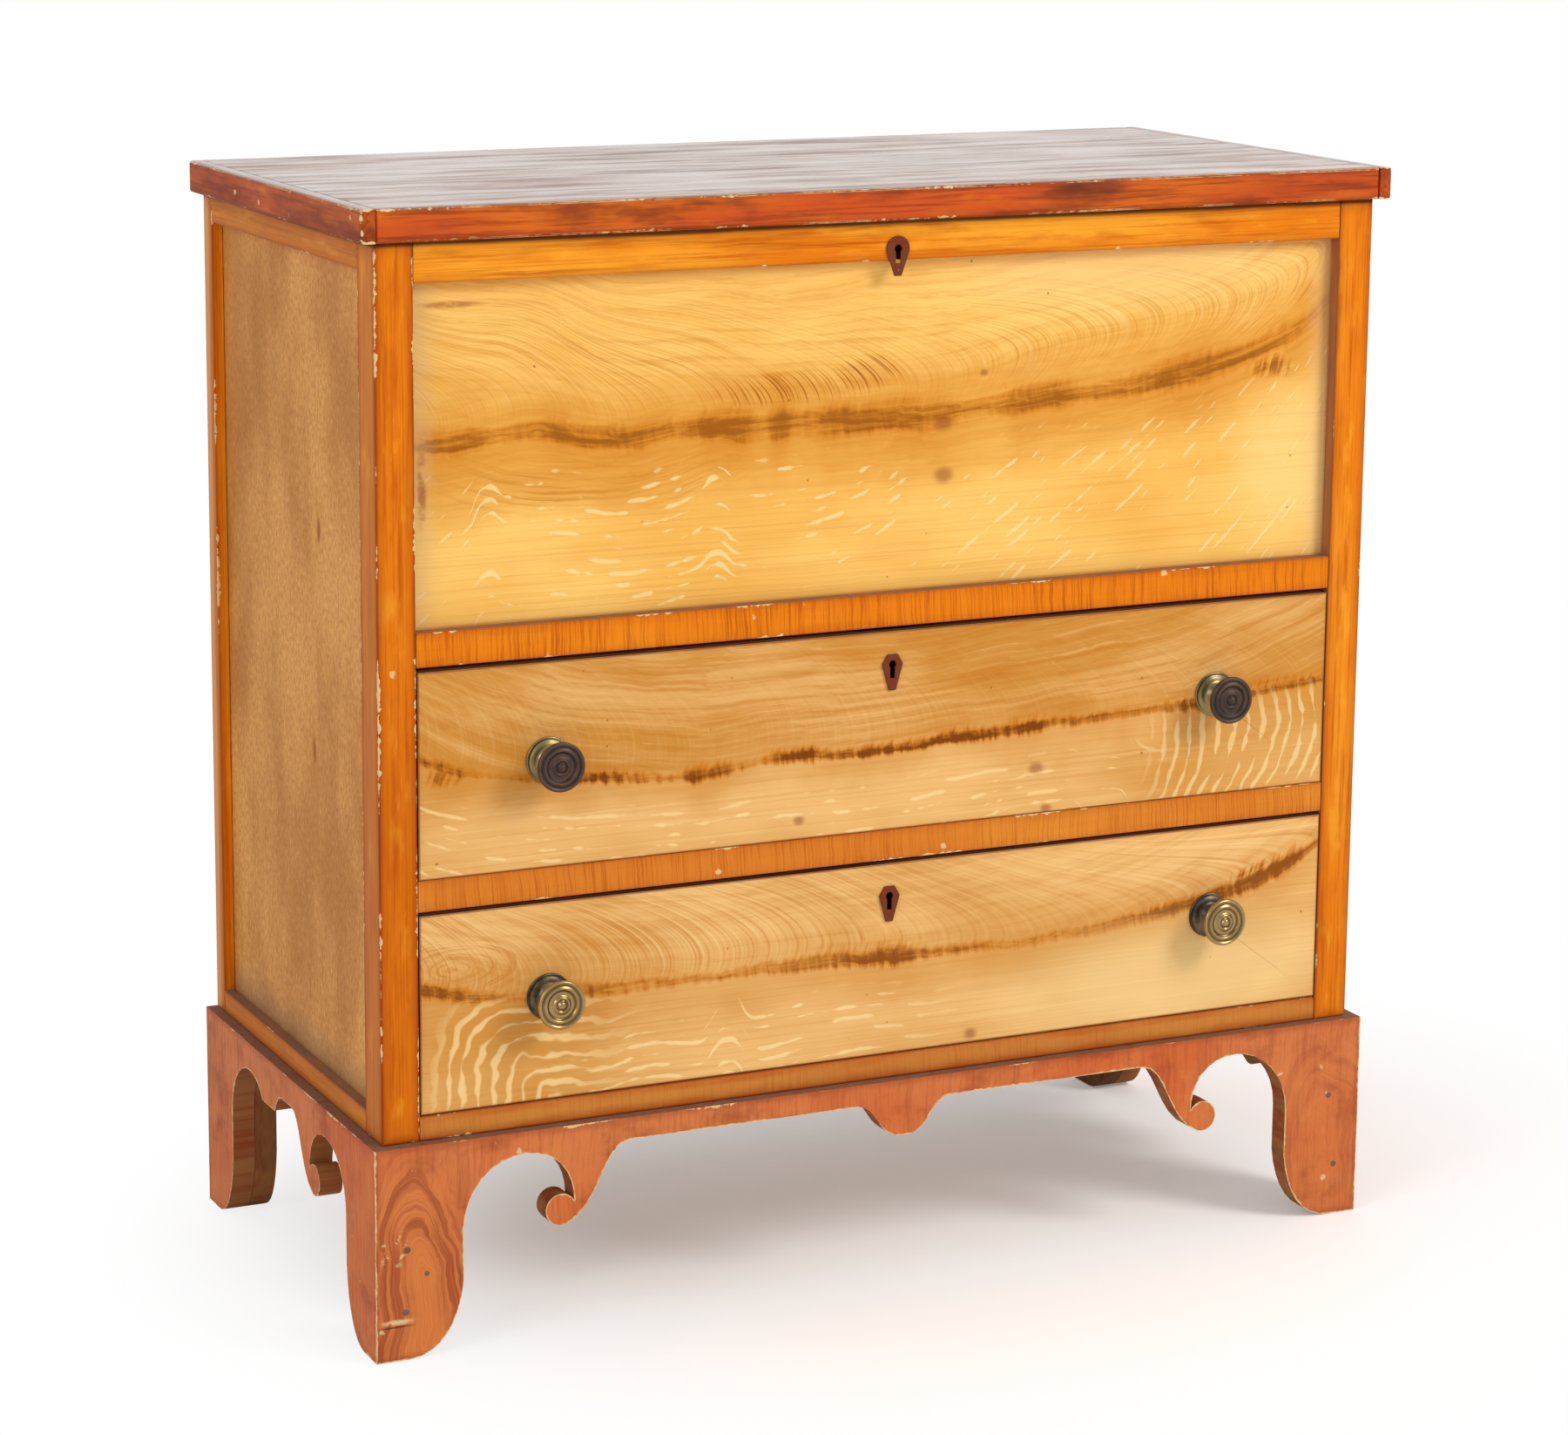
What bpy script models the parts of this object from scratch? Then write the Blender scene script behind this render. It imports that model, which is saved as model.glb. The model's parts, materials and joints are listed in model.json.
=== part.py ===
"""Mule chest: a lidded well over two long drawers, on a bracket base with sawn scrolls.

Metres, +Z up, +X to the right as seen from the front, +Y towards the back. Every piece is drawn in
the frame of the case, where Y = 0 is the front face of the posts, X = 0 the middle and Z = 0 the floor.
The empty "chest" then moves the whole so that the origin is under the middle of its bounding box.
"""

import math
from types import SimpleNamespace

import bmesh
import bpy
from mathutils import Matrix, Vector

# Clearances
JOINT_GAP = 0.0003            # left between pieces that touch
CUT_MARGIN = 0.010            # how far a cutter runs past the face that it opens
SAME = 1e-5                   # points closer than this count as one

# Curves
ARC_STEPS = 16
CURVE_STEPS = 8
ROD_STEPS = 20
HOLE_STEPS = 16
TURNED_STEPS = 28
SMOOTH_ANGLE = math.radians(35)

# Case, from the floor up
CASE_WIDTH = 0.985
CASE_DEPTH = 0.463
BASE_HEIGHT = 0.1942
BOTTOM_RAIL_HEIGHT = 0.0230
LOWER_OPENING = 0.1828
DIVIDER_HEIGHT = 0.0282
UPPER_OPENING = 0.1877
MIDDLE_RAIL_HEIGHT = 0.0306
PANEL_OPENING = 0.2997
TOP_RAIL_HEIGHT = 0.0435

# Frame members
POST_WIDTH = 0.035
FRONT_POST_DEPTH = 0.042
BACK_POST_DEPTH = 0.024
TOP_RAIL_DEPTH = 0.030
SIDE_RAIL_THICKNESS = 0.026
SIDE_TOP_RAIL_HEIGHT = 0.0345
SIDE_BOTTOM_RAIL_HEIGHT = 0.021
BACK_RAIL_HEIGHT = 0.060
BOTTOM_RAIL_ROUND = 0.006     # rounding of the bottom rail's front edge

# Panels, joints and boards
PANEL_RECESS = 0.014
PANEL_THICKNESS = 0.010
SIDE_PANEL_RECESS = 0.011
SIDE_PANEL_THICKNESS = 0.009
PANEL_GROOVE = 0.006
TENON_LENGTH = 0.014
SIDE_TENON_LENGTH = 0.012
TENON_THICKNESS = 0.010
TENON_MARGIN = 0.0012         # wood between a tenon and the panel groove beside it
BACK_BOARD_THICKNESS = 0.012
BACK_BOARD_REBATE = 0.010
BACK_BOARD_GROOVE = 0.005     # for the well floor's back edge
FLOOR_THICKNESS = 0.012
FLOOR_RISE = 0.012            # from the middle rail's underside to the well floor
RUNNER_WIDTH = 0.028          # bearing inside the line of the posts
RUNNER_THICKNESS = 0.018
GUIDE_HEIGHT = 0.020

# Base
BASE_BOARD = 0.022
BASE_STEP = 0.011             # how far the base stands out from the case
TOE_FLAT = 0.030
FOOT_WIDTH = 0.082
ANKLE_HEIGHT = 0.066
SPRING_HEIGHT = 0.112
APRON_RIB = 0.0202            # wood over the arches and the straight stretches
CROWN_REACH = 0.140           # from the end of the board to the middle of the arch
EYE_REACH = 0.1745
EYE_HEIGHT = 0.1175
EYE_RADIUS = 0.0146
STEM_REACH = 0.242
DROP_WIDTH = 0.100
DROP_DEPTH = 0.033
DROP_OFFSET = 0.011           # the drop stands a little right of the middle
SIDE_FLAT = 0.0263            # straight stretch between the two brackets of a side
SIDE_APRON_RIB = 0.0262
LOST_SCROLL_HEIGHT = 0.150    # the left rear scroll is broken off at this height
EYE_START = math.radians(28)
EYE_END = math.radians(288)
# Fullness of the sawn curves, as shares of the stretch that each one covers
TOE_EASE = 0.54
ANKLE_LEAN = 0.95
ANKLE_EASE = 0.42
ARCH_RISE = 0.55
ARCH_CROWN = 0.45
SCROLL_CROWN = 0.68
SCROLL_FALL = 0.42
STEM_EASE = 0.45
DROP_WAIST = 0.52
DROP_SWELL = 0.60
TAIL_SWEEP = 2.4              # in radii of the eye

# Lid and hinges
LID_THICKNESS = 0.0213
LID_LIP = 0.0081              # drop of the edge strips past the lid board
LID_SIDE_STRIP = 0.0132
LID_FRONT_STRIP = 0.0081
LID_CLEARANCE = 0.001         # lid board past the case at the front and the sides
LID_BACK_SET = 0.002
LID_ROUND = 0.004
HINGE_INSET = 0.1925          # from the side of the case to the middle of a hinge
HINGE_LENGTH = 0.064
HINGE_KNUCKLES = 5
LEAF_DEPTH = 0.022
LEAF_THICKNESS = 0.0022
KNUCKLE_RADIUS = 0.004
HINGE_PIN_RADIUS = 0.0018
HINGE_STANDOFF = 0.0005       # from the back of the case to the knuckles

# Drawers
DRAWER_SIDE_GAP = 0.0012
UPPER_TOP_GAP = 0.0042
LOWER_TOP_GAP = 0.0035
DRAWER_FRONT_THICKNESS = 0.021
DRAWER_SIDE_THICKNESS = 0.012
DRAWER_SIDE_DROP = 0.006      # drawer sides stop short of the top of the front
DRAWER_BACK_DROP = 0.010
DRAWER_BOTTOM_THICKNESS = 0.008
DRAWER_BOTTOM_RISE = 0.010
DRAWER_GROOVE = 0.006
DOVETAIL_LAP = 0.006          # wood left in front of the tails
DOVETAIL_COUNT = 3
DOVETAIL_WIDTH = 0.024
DOVETAIL_FLARE = 0.003
DOVETAIL_START = 0.026        # lowest tail above the drawer's bottom edge

# Knobs
KNOB_INSET = 0.1565           # from the side of the case to the middle of a knob
KNOB_RISE = 0.0045            # above the middle of the drawer front
KNOB_RADIUS = 0.0222
KNOB_PROJECTION = 0.034
KNOB_NECK_RADIUS = 0.0075
KNOB_SHANK_RADIUS = 0.0027
ROSE_RADIUS = 0.021
NUT_WIDTH = 0.014
NUT_THICKNESS = 0.005
NUT_TAIL = 0.0015             # shank past the nut
KNOB_RIM_SET = 0.0045         # from the face back to the widest line
# Turned shapes, as (share of the radius, distance): rose and neck off the drawer, back and face off the rim
ROSE_EDGE = ((1.00, 0.0012), (0.82, 0.0026))
KNOB_NECK = ((1.25, 0.0), (1.25, 0.0020), (1.00, 0.0060), (1.05, 0.0110))
KNOB_BACK = ((0.66, 0.0068), (0.95, 0.0030))
KNOB_FACE = ((0.96, 0.0024), (0.80, 0.0030), (0.66, 0.0012), (0.52, 0.0030), (0.30, 0.0039))

# Locks and keyholes
LOCK_OFFSET = -0.002
LOCK_WIDTH = 0.060
LOCK_HEIGHT = 0.052
LOCK_DEPTH = 0.010
LOCK_KEYHOLE_DROP = 0.030     # drawer top to the round of the keyhole
BOLT_WIDTH = 0.0254
BOLT_THICKNESS = 0.0046
BOLT_HEIGHT = 0.0215
BOLT_TRAVEL = 0.010
BOLT_CLEARANCE = 0.0004
BOLT_MORTISE_SPARE = 0.0015
KEYHOLE_RADIUS = 0.0036
KEYHOLE_SLOT = 0.0048
KEYHOLE_LENGTH = 0.0128       # round centre to the end of the slot
KEY_POCKET = 0.004
ESCUTCHEON_WIDTH = 0.0206
ESCUTCHEON_HEIGHT = 0.033
ESCUTCHEON_SHOULDER = 0.0092
ESCUTCHEON_HEAD = 0.0100
ESCUTCHEON_TIP = 0.0070
ESCUTCHEON_THICKNESS = 0.0016
ESCUTCHEON_HEAD_RISE = 0.0092  # top of a drawer escutcheon above the round of the keyhole

LID_LOCK_WIDTH = 0.076
LID_LOCK_HEIGHT = 0.053
LID_LOCK_DEPTH = 0.015
LID_KEYHOLE_DROP = 0.0332     # case top to the round of the keyhole
LID_BOLT_LENGTH = 0.026
LID_BOLT_HEIGHT = 0.0060
LID_BOLT_THICKNESS = 0.0046
LID_ESCUTCHEON_RADIUS = 0.0114
LID_ESCUTCHEON_NECK = math.radians(28)  # below the level where the round head ends
LID_ESCUTCHEON_DROP = 0.0242  # round of the keyhole to the tip
LINK_WIDTH = 0.060
LINK_DEPTH = 0.024
LINK_THICKNESS = 0.0020
STAPLE_THICKNESS = 0.004
STAPLE_WALL = 0.0022
STAPLE_CLEARANCE = 0.0008

# Levels and lines worked out from the above
CROWN_HEIGHT = BASE_HEIGHT - APRON_RIB
SIDE_CROWN_HEIGHT = BASE_HEIGHT - SIDE_APRON_RIB
BOTTOM_RAIL_Z = BASE_HEIGHT + JOINT_GAP
LOWER_DRAWER_Z = BOTTOM_RAIL_Z + BOTTOM_RAIL_HEIGHT
DIVIDER_Z = LOWER_DRAWER_Z + LOWER_OPENING
UPPER_DRAWER_Z = DIVIDER_Z + DIVIDER_HEIGHT
MIDDLE_RAIL_Z = UPPER_DRAWER_Z + UPPER_OPENING
PANEL_Z = MIDDLE_RAIL_Z + MIDDLE_RAIL_HEIGHT
TOP_RAIL_Z = PANEL_Z + PANEL_OPENING
CASE_TOP = TOP_RAIL_Z + TOP_RAIL_HEIGHT
LID_Z = CASE_TOP + JOINT_GAP
LID_TOP = LID_Z + LID_THICKNESS
FLOOR_Z = MIDDLE_RAIL_Z + FLOOR_RISE
BACK_RAIL_Z = CASE_TOP - BACK_RAIL_HEIGHT
SIDE_PANEL_TOP = CASE_TOP - SIDE_TOP_RAIL_HEIGHT
SIDE_PANEL_BOTTOM = BOTTOM_RAIL_Z + SIDE_BOTTOM_RAIL_HEIGHT

HALF_WIDTH = CASE_WIDTH / 2
OPENING_HALF = HALF_WIDTH - POST_WIDTH
SIDE_RAIL_INNER = HALF_WIDTH - SIDE_RAIL_THICKNESS
SIDE_PANEL_OUTER = HALF_WIDTH - SIDE_PANEL_RECESS
SIDE_PANEL_INNER = SIDE_PANEL_OUTER - SIDE_PANEL_THICKNESS
BASE_HALF = HALF_WIDTH + BASE_STEP
SIDE_BRACKET_RATIO = (CASE_DEPTH + BASE_STEP - SIDE_FLAT) / (2 * STEM_REACH)  # side brackets to front ones
HINGE_OFFSET = HALF_WIDTH - HINGE_INSET
KNOB_OFFSET = HALF_WIDTH - KNOB_INSET
BACK_POST_Y = CASE_DEPTH - BACK_POST_DEPTH
BACK_BOARD_Y = CASE_DEPTH - BACK_BOARD_THICKNESS
TENON_SHOULDER = PANEL_GROOVE + TENON_MARGIN
LID_HALF = HALF_WIDTH + LID_CLEARANCE
LID_BACK = CASE_DEPTH - LID_BACK_SET
HINGE_Y = CASE_DEPTH + HINGE_STANDOFF + KNUCKLE_RADIUS
HINGE_Z = CASE_TOP + JOINT_GAP / 2
LID_LOCK_Y = TOP_RAIL_DEPTH + JOINT_GAP
FRONT_Y = (KNOB_PROJECTION - HINGE_Y - KNUCKLE_RADIUS) / 2
LEFT = -1
RIGHT = 1
SIDE_NAMES = {LEFT: "left", RIGHT: "right"}

# Finish of each kind of surface: colour, roughness, metallic
FINISHES = {
    "amber_frame": ((0.62, 0.27, 0.06), 0.34, 0.0),
    "ochre_panel": ((0.66, 0.43, 0.14), 0.38, 0.0),
    "tan_panel": ((0.50, 0.33, 0.13), 0.42, 0.0),
    "red_base": ((0.52, 0.19, 0.06), 0.36, 0.0),
    "red_edge": ((0.40, 0.12, 0.05), 0.34, 0.0),
    "dark_top": ((0.16, 0.10, 0.07), 0.24, 0.0),
    "bare_pine": ((0.58, 0.43, 0.25), 0.70, 0.0),
    "dark_brass": ((0.20, 0.13, 0.08), 0.38, 1.0),
    "bright_brass": ((0.45, 0.35, 0.16), 0.30, 1.0),
    "old_iron": ((0.13, 0.11, 0.10), 0.55, 1.0),
    "red_plate": ((0.20, 0.07, 0.05), 0.50, 0.0),
}


def clear_scene():
    for old in list(bpy.data.objects):
        bpy.data.objects.remove(old, do_unlink=True)


def finish(name):
    """The Principled material of one kind of surface, made once."""
    material = bpy.data.materials.get(name)
    if material is None:
        colour, roughness, metallic = FINISHES[name]
        material = bpy.data.materials.new(name)
        material.use_nodes = True
        surface = material.node_tree.nodes["Principled BSDF"]
        surface.inputs["Base Color"].default_value = (*colour, 1.0)
        surface.inputs["Roughness"].default_value = roughness
        surface.inputs["Metallic"].default_value = metallic
    return material


# Shapes

def solid(bm):
    """An object that holds the bmesh's closed shape."""
    bmesh.ops.recalc_face_normals(bm, faces=bm.faces)
    mesh = bpy.data.meshes.new("shape")
    bm.to_mesh(mesh)
    bm.free()
    shape = bpy.data.objects.new("shape", mesh)
    bpy.context.collection.objects.link(shape)
    return shape


def prism(axis, outline, depth):
    """An outline pushed along an axis: (y, z) points for X, (x, z) for Y and (x, y) for Z."""
    low, high = depth
    index = "XYZ".index(axis)
    bm = bmesh.new()
    verts = []
    for first, second in outline:
        point = [first, second]
        point.insert(index, low)
        verts.append(bm.verts.new(point))
    face = bm.faces.new(verts)
    pushed = bmesh.ops.extrude_face_region(bm, geom=[face])
    shift = [0.0, 0.0, 0.0]
    shift[index] = high - low
    moved = [item for item in pushed["geom"] if isinstance(item, bmesh.types.BMVert)]
    bmesh.ops.translate(bm, vec=shift, verts=moved)
    return solid(bm)


def box(x, y, z):
    """A block from its three (low, high) ranges."""
    return prism("Z", [(x[0], y[0]), (x[1], y[0]), (x[1], y[1]), (x[0], y[1])], z)


def turned(profile, x, z, steps=TURNED_STEPS):
    """A closed profile of (radius, y) points turned about the line through x, z along Y."""
    bm = bmesh.new()
    verts = [bm.verts.new((radius, y, 0.0)) for radius, y in profile]
    edges = [bm.edges.new(pair) for pair in zip(verts, verts[1:] + verts[:1])]
    turn = {"cent": (0, 0, 0), "axis": (0, 1, 0), "angle": math.tau, "steps": steps}
    bmesh.ops.spin(bm, geom=edges, use_merge=True, **turn)
    bmesh.ops.remove_doubles(bm, verts=bm.verts, dist=SAME)
    loose = [edge for edge in bm.edges if not edge.link_faces]
    bmesh.ops.delete(bm, geom=loose, context="EDGES")
    bmesh.ops.translate(bm, vec=(x, 0, z), verts=bm.verts)
    shape = solid(bm)
    shape.data.shade_smooth()
    shape.data.set_sharp_from_angle(angle=SMOOTH_ANGLE)
    return shape


def rod(x, radius):
    """A round bar along the line of the hinges, from its (low, high) range."""
    outline = arc((HINGE_Y, HINGE_Z), radius, 0, math.tau, ROD_STEPS)[:-1]
    return prism("X", outline, x)


def combine(shape, other, operation):
    """Union or difference with another shape, which is used up."""
    modifier = shape.modifiers.new("shape", "BOOLEAN")
    modifier.operation = operation
    modifier.solver = "EXACT"
    modifier.object = other
    evaluated = shape.evaluated_get(bpy.context.evaluated_depsgraph_get())
    result = bpy.data.meshes.new_from_object(evaluated)
    old = shape.data
    shape.modifiers.clear()
    shape.data = result
    bpy.data.meshes.remove(old)
    used = other.data
    bpy.data.objects.remove(other)
    bpy.data.meshes.remove(used)


def cut(shape, *cutters):
    for cutter in cutters:
        combine(shape, cutter, "DIFFERENCE")
    return shape


def unite(shape, *others):
    for other in others:
        combine(shape, other, "UNION")
    return shape


def round_edges(shape, chosen, radius, segments=3):
    """Round the edges whose two ends both pass the test."""
    bm = bmesh.new()
    bm.from_mesh(shape.data)
    edges = [edge for edge in bm.edges if chosen(edge.verts[0].co) and chosen(edge.verts[1].co)]
    bmesh.ops.bevel(bm, geom=edges, offset=radius, segments=segments, profile=0.5, affect="EDGES")
    bm.to_mesh(shape.data)
    bm.free()
    return shape


def arc(centre, radius, start, end, steps=ARC_STEPS):
    """Points along a circle, both ends included."""
    x, y = centre
    turns = [start + (end - start) * step / steps for step in range(steps + 1)]
    return [(x + radius * math.cos(turn), y + radius * math.sin(turn)) for turn in turns]


def curve(start, handle, handle_end, end):
    """Points along a cubic curve, without its start."""
    points = []
    for step in range(1, CURVE_STEPS + 1):
        t = step / CURVE_STEPS
        weights = ((1 - t) ** 3, 3 * t * (1 - t) ** 2, 3 * t * t * (1 - t), t ** 3)
        corners = (start, handle, handle_end, end)
        points.append(tuple(sum(w * c[k] for w, c in zip(weights, corners)) for k in (0, 1)))
    return points


def near(value, target):
    return abs(value - target) < SAME


def spread(centre, size):
    return centre - size / 2, centre + size / 2


def grow(extent, amount=JOINT_GAP):
    return extent[0] - amount, extent[1] + amount


def past(low, high):
    """A cutter's range, run past both faces."""
    return low - CUT_MARGIN, high + CUT_MARGIN


def aside(side, inner, outer):
    """The X range at one side, from two distances off the middle."""
    return tuple(sorted((side * inner, side * outer)))


# Placing

def holder(name, at, parent=None):
    """An empty that carries pieces; a moving group's empty stands on the line of its joint."""
    empty = bpy.data.objects.new(name, None)
    bpy.context.collection.objects.link(empty)
    empty["at"] = at
    empty.location = at
    if parent is not None:
        empty.parent = parent
        empty.location = Vector(at) - Vector(parent["at"])
    return empty


def place(name, shape, surface, carrier):
    """Name a finished shape, give it its surface and hang it on its carrier."""
    shape.name = name
    shape.data.name = name
    shape.data.materials.clear()
    shape.data.materials.append(finish(surface))
    shape.parent = carrier
    shape.matrix_parent_inverse = Matrix.Translation(-Vector(carrier["at"]))
    return shape


# Base

def bracket(ratio, crown):
    """Lower outline of a foot, its arch and its scroll, from the end of the board inwards."""
    foot = FOOT_WIDTH * ratio
    toe = (TOE_FLAT, 0.0)
    ankle = (foot, ANKLE_HEIGHT)
    spring = (foot, SPRING_HEIGHT)
    top = (CROWN_REACH * ratio, crown)
    stem = (STEM_REACH * ratio, crown)
    eye = arc((EYE_REACH * ratio, EYE_HEIGHT), EYE_RADIUS, EYE_START, EYE_END)
    notch = eye[0]
    tail = eye[-1]
    rise = crown - SPRING_HEIGHT
    sweep = TAIL_SWEEP * EYE_RADIUS
    toe_handle = ((TOE_FLAT + foot) * TOE_EASE, 0.0)
    ankle_handle = (foot * ANKLE_LEAN, ANKLE_HEIGHT * ANKLE_EASE)
    spring_handle = (foot, SPRING_HEIGHT + rise * ARCH_RISE)
    arch_handle = (foot + (top[0] - foot) * ARCH_CROWN, crown)
    crown_handle = (top[0] + (notch[0] - top[0]) * SCROLL_CROWN, crown)
    notch_handle = (notch[0], notch[1] + rise * SCROLL_FALL)
    tail_handle = (tail[0] - sweep * math.sin(EYE_END), tail[1] + sweep * math.cos(EYE_END))
    stem_handle = (stem[0] - (stem[0] - tail[0]) * STEM_EASE, crown)
    points = [(0.0, 0.0), toe]
    points += curve(toe, toe_handle, ankle_handle, ankle)
    points += [spring]
    points += curve(spring, spring_handle, arch_handle, top)
    points += curve(top, crown_handle, notch_handle, notch)
    points += eye[1:]
    points += curve(tail, tail_handle, stem_handle, stem)
    return points


def front_apron(chest):
    start = bracket(1.0, CROWN_HEIGHT)
    left = [(u - BASE_HALF, z) for u, z in start]
    right = [(BASE_HALF - u, z) for u, z in reversed(start)]
    tip = (DROP_OFFSET, CROWN_HEIGHT - DROP_DEPTH)
    reach = DROP_WIDTH / 2
    drop_left = (DROP_OFFSET - reach, CROWN_HEIGHT)
    drop_right = (DROP_OFFSET + reach, CROWN_HEIGHT)
    waist = reach * DROP_WAIST
    swell = reach * DROP_SWELL
    drop = [drop_left]
    drop += curve(drop_left, (drop_left[0] + waist, drop_left[1]), (tip[0] - swell, tip[1]), tip)
    drop += curve(tip, (tip[0] + swell, tip[1]), (drop_right[0] - waist, drop_right[1]), drop_right)
    outline = left + drop + right + [(BASE_HALF, BASE_HEIGHT), (-BASE_HALF, BASE_HEIGHT)]
    apron = prism("Y", outline, (-BASE_STEP, BASE_BOARD - BASE_STEP))
    for side in (LEFT, RIGHT):
        cut(apron, mitre(side, JOINT_GAP / 2, LEFT))
    place("apron_front", apron, "red_base", chest)


def mitre(side, offset, keep):
    """A wedge along one line of a front corner's mitre; keep tells which board is left standing."""
    across = keep * offset * math.sqrt(2)
    near_end = (BASE_HALF + across + CUT_MARGIN, -BASE_STEP - CUT_MARGIN)
    reach = BASE_BOARD + 2 * CUT_MARGIN
    far_end = (near_end[0] - reach, near_end[1] + reach)
    corner = (near_end[0], far_end[1]) if keep == LEFT else (far_end[0], near_end[1])
    outline = [(side * x, y) for x, y in (near_end, far_end, corner)]
    return prism("Z", outline, past(0.0, BASE_HEIGHT))


def side_apron(side, chest):
    start = bracket(SIDE_BRACKET_RATIO, SIDE_CROWN_HEIGHT)
    front = [(u - BASE_STEP, z) for u, z in start]
    rear = [(CASE_DEPTH - u, z) for u, z in reversed(start)]
    outline = front + rear + [(CASE_DEPTH, BASE_HEIGHT), (-BASE_STEP, BASE_HEIGHT)]
    x = aside(side, BASE_HALF - BASE_BOARD, BASE_HALF)
    apron = prism("X", outline, x)
    cut(apron, mitre(side, JOINT_GAP / 2, RIGHT))
    if side == LEFT:
        crown_y = CASE_DEPTH - CROWN_REACH * SIDE_BRACKET_RATIO
        stem_y = CASE_DEPTH - STEM_REACH * SIDE_BRACKET_RATIO
        cut(apron, box(past(*x), (stem_y, crown_y), (0.0, LOST_SCROLL_HEIGHT)))
    place("apron_" + SIDE_NAMES[side], apron, "red_base", chest)


def rear_foot_block(side, chest):
    """Second layer of a rear foot, sawn with the side apron as far as the crown of its arch."""
    start = bracket(SIDE_BRACKET_RATIO, SIDE_CROWN_HEIGHT)
    crown = CROWN_REACH * SIDE_BRACKET_RATIO
    foot = []
    for u, z in start:
        foot.append((CASE_DEPTH - u, z))
        if near(u, crown):
            break
    outline = foot + [(CASE_DEPTH - crown, BASE_HEIGHT), (CASE_DEPTH, BASE_HEIGHT)]
    outer = BASE_HALF - BASE_BOARD - JOINT_GAP
    block = prism("X", outline, aside(side, outer - BASE_BOARD, outer))
    place("rear_foot_block_" + SIDE_NAMES[side], block, "bare_pine", chest)


# Case

def front_tenon(side, depth, z):
    """The tenon of a front or back rail at one end, drawn back into the rail so that they unite."""
    x = aside(side, OPENING_HALF - TENON_LENGTH, OPENING_HALF + TENON_LENGTH)
    return x, spread(sum(depth) / 2, TENON_THICKNESS), grow(z, -TENON_SHOULDER)


def side_tenon(side, end_y, z):
    """The tenon of a side rail where it enters the front or back post at end_y."""
    middle = HALF_WIDTH - SIDE_RAIL_THICKNESS / 2
    x = spread(side * middle, TENON_THICKNESS)
    return x, spread(end_y, 2 * SIDE_TENON_LENGTH), grow(z, -TENON_SHOULDER)


def mortise(tenon):
    return box(*(grow(extent) for extent in tenon))


def crossing_rails():
    """The rails that join the left and right posts: node name, depth and height ranges."""
    front = (0.0, FRONT_POST_DEPTH)
    return {
        "bottom_front_rail": (front, (BOTTOM_RAIL_Z, LOWER_DRAWER_Z)),
        "drawer_divider": (front, (DIVIDER_Z, UPPER_DRAWER_Z)),
        "middle_rail": (front, (MIDDLE_RAIL_Z, PANEL_Z)),
        "top_front_rail": ((0.0, TOP_RAIL_DEPTH), (TOP_RAIL_Z, CASE_TOP)),
        "back_top_rail": ((BACK_POST_Y, CASE_DEPTH), (BACK_RAIL_Z, CASE_TOP)),
    }


def side_rail_heights():
    return {
        "side_top_rail": (SIDE_PANEL_TOP, CASE_TOP),
        "side_bottom_rail": (BOTTOM_RAIL_Z, SIDE_PANEL_BOTTOM),
    }


def front_panel_groove():
    x = grow((-OPENING_HALF, OPENING_HALF), PANEL_GROOVE)
    y = grow((PANEL_RECESS, PANEL_RECESS + PANEL_THICKNESS))
    return x, y, grow((PANEL_Z, TOP_RAIL_Z), PANEL_GROOVE)


def side_panel_groove(side):
    x = grow(aside(side, SIDE_PANEL_INNER, SIDE_PANEL_OUTER))
    y = grow((FRONT_POST_DEPTH, BACK_POST_Y), PANEL_GROOVE)
    return x, y, grow((SIDE_PANEL_BOTTOM, SIDE_PANEL_TOP), PANEL_GROOVE)


def front_post(side, chest):
    x = aside(side, OPENING_HALF, HALF_WIDTH)
    post = box(x, (0.0, FRONT_POST_DEPTH), (BOTTOM_RAIL_Z, CASE_TOP))
    for depth, z in crossing_rails().values():
        if depth[0] < FRONT_POST_DEPTH:
            cut(post, mortise(front_tenon(side, depth, z)))
    for z in side_rail_heights().values():
        cut(post, mortise(side_tenon(side, FRONT_POST_DEPTH, z)))
    cut(post, box(*front_panel_groove()), box(*side_panel_groove(side)))
    place("front_post_" + SIDE_NAMES[side], post, "amber_frame", chest)


def back_post(side, chest):
    x = aside(side, OPENING_HALF, HALF_WIDTH)
    post = box(x, (BACK_POST_Y, CASE_DEPTH), (BOTTOM_RAIL_Z, CASE_TOP))
    depth, z = crossing_rails()["back_top_rail"]
    cut(post, mortise(front_tenon(side, depth, z)))
    for z in side_rail_heights().values():
        cut(post, mortise(side_tenon(side, BACK_POST_Y, z)))
    rebate_x = aside(side, OPENING_HALF - CUT_MARGIN, OPENING_HALF + BACK_BOARD_REBATE)
    rebate_z = (BOTTOM_RAIL_Z - CUT_MARGIN, BACK_RAIL_Z)
    cut(post, box(rebate_x, (BACK_BOARD_Y, CASE_DEPTH + CUT_MARGIN), rebate_z))
    cut(post, box(*side_panel_groove(side)))
    place("back_post_" + SIDE_NAMES[side], post, "amber_frame", chest)


def crossing_rail(name):
    """A rail between two posts, with its tenons."""
    depth, z = crossing_rails()[name]
    x = (-OPENING_HALF + JOINT_GAP, OPENING_HALF - JOINT_GAP)
    rail = box(x, depth, z)
    for side in (LEFT, RIGHT):
        unite(rail, box(*front_tenon(side, depth, z)))
    return rail


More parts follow.
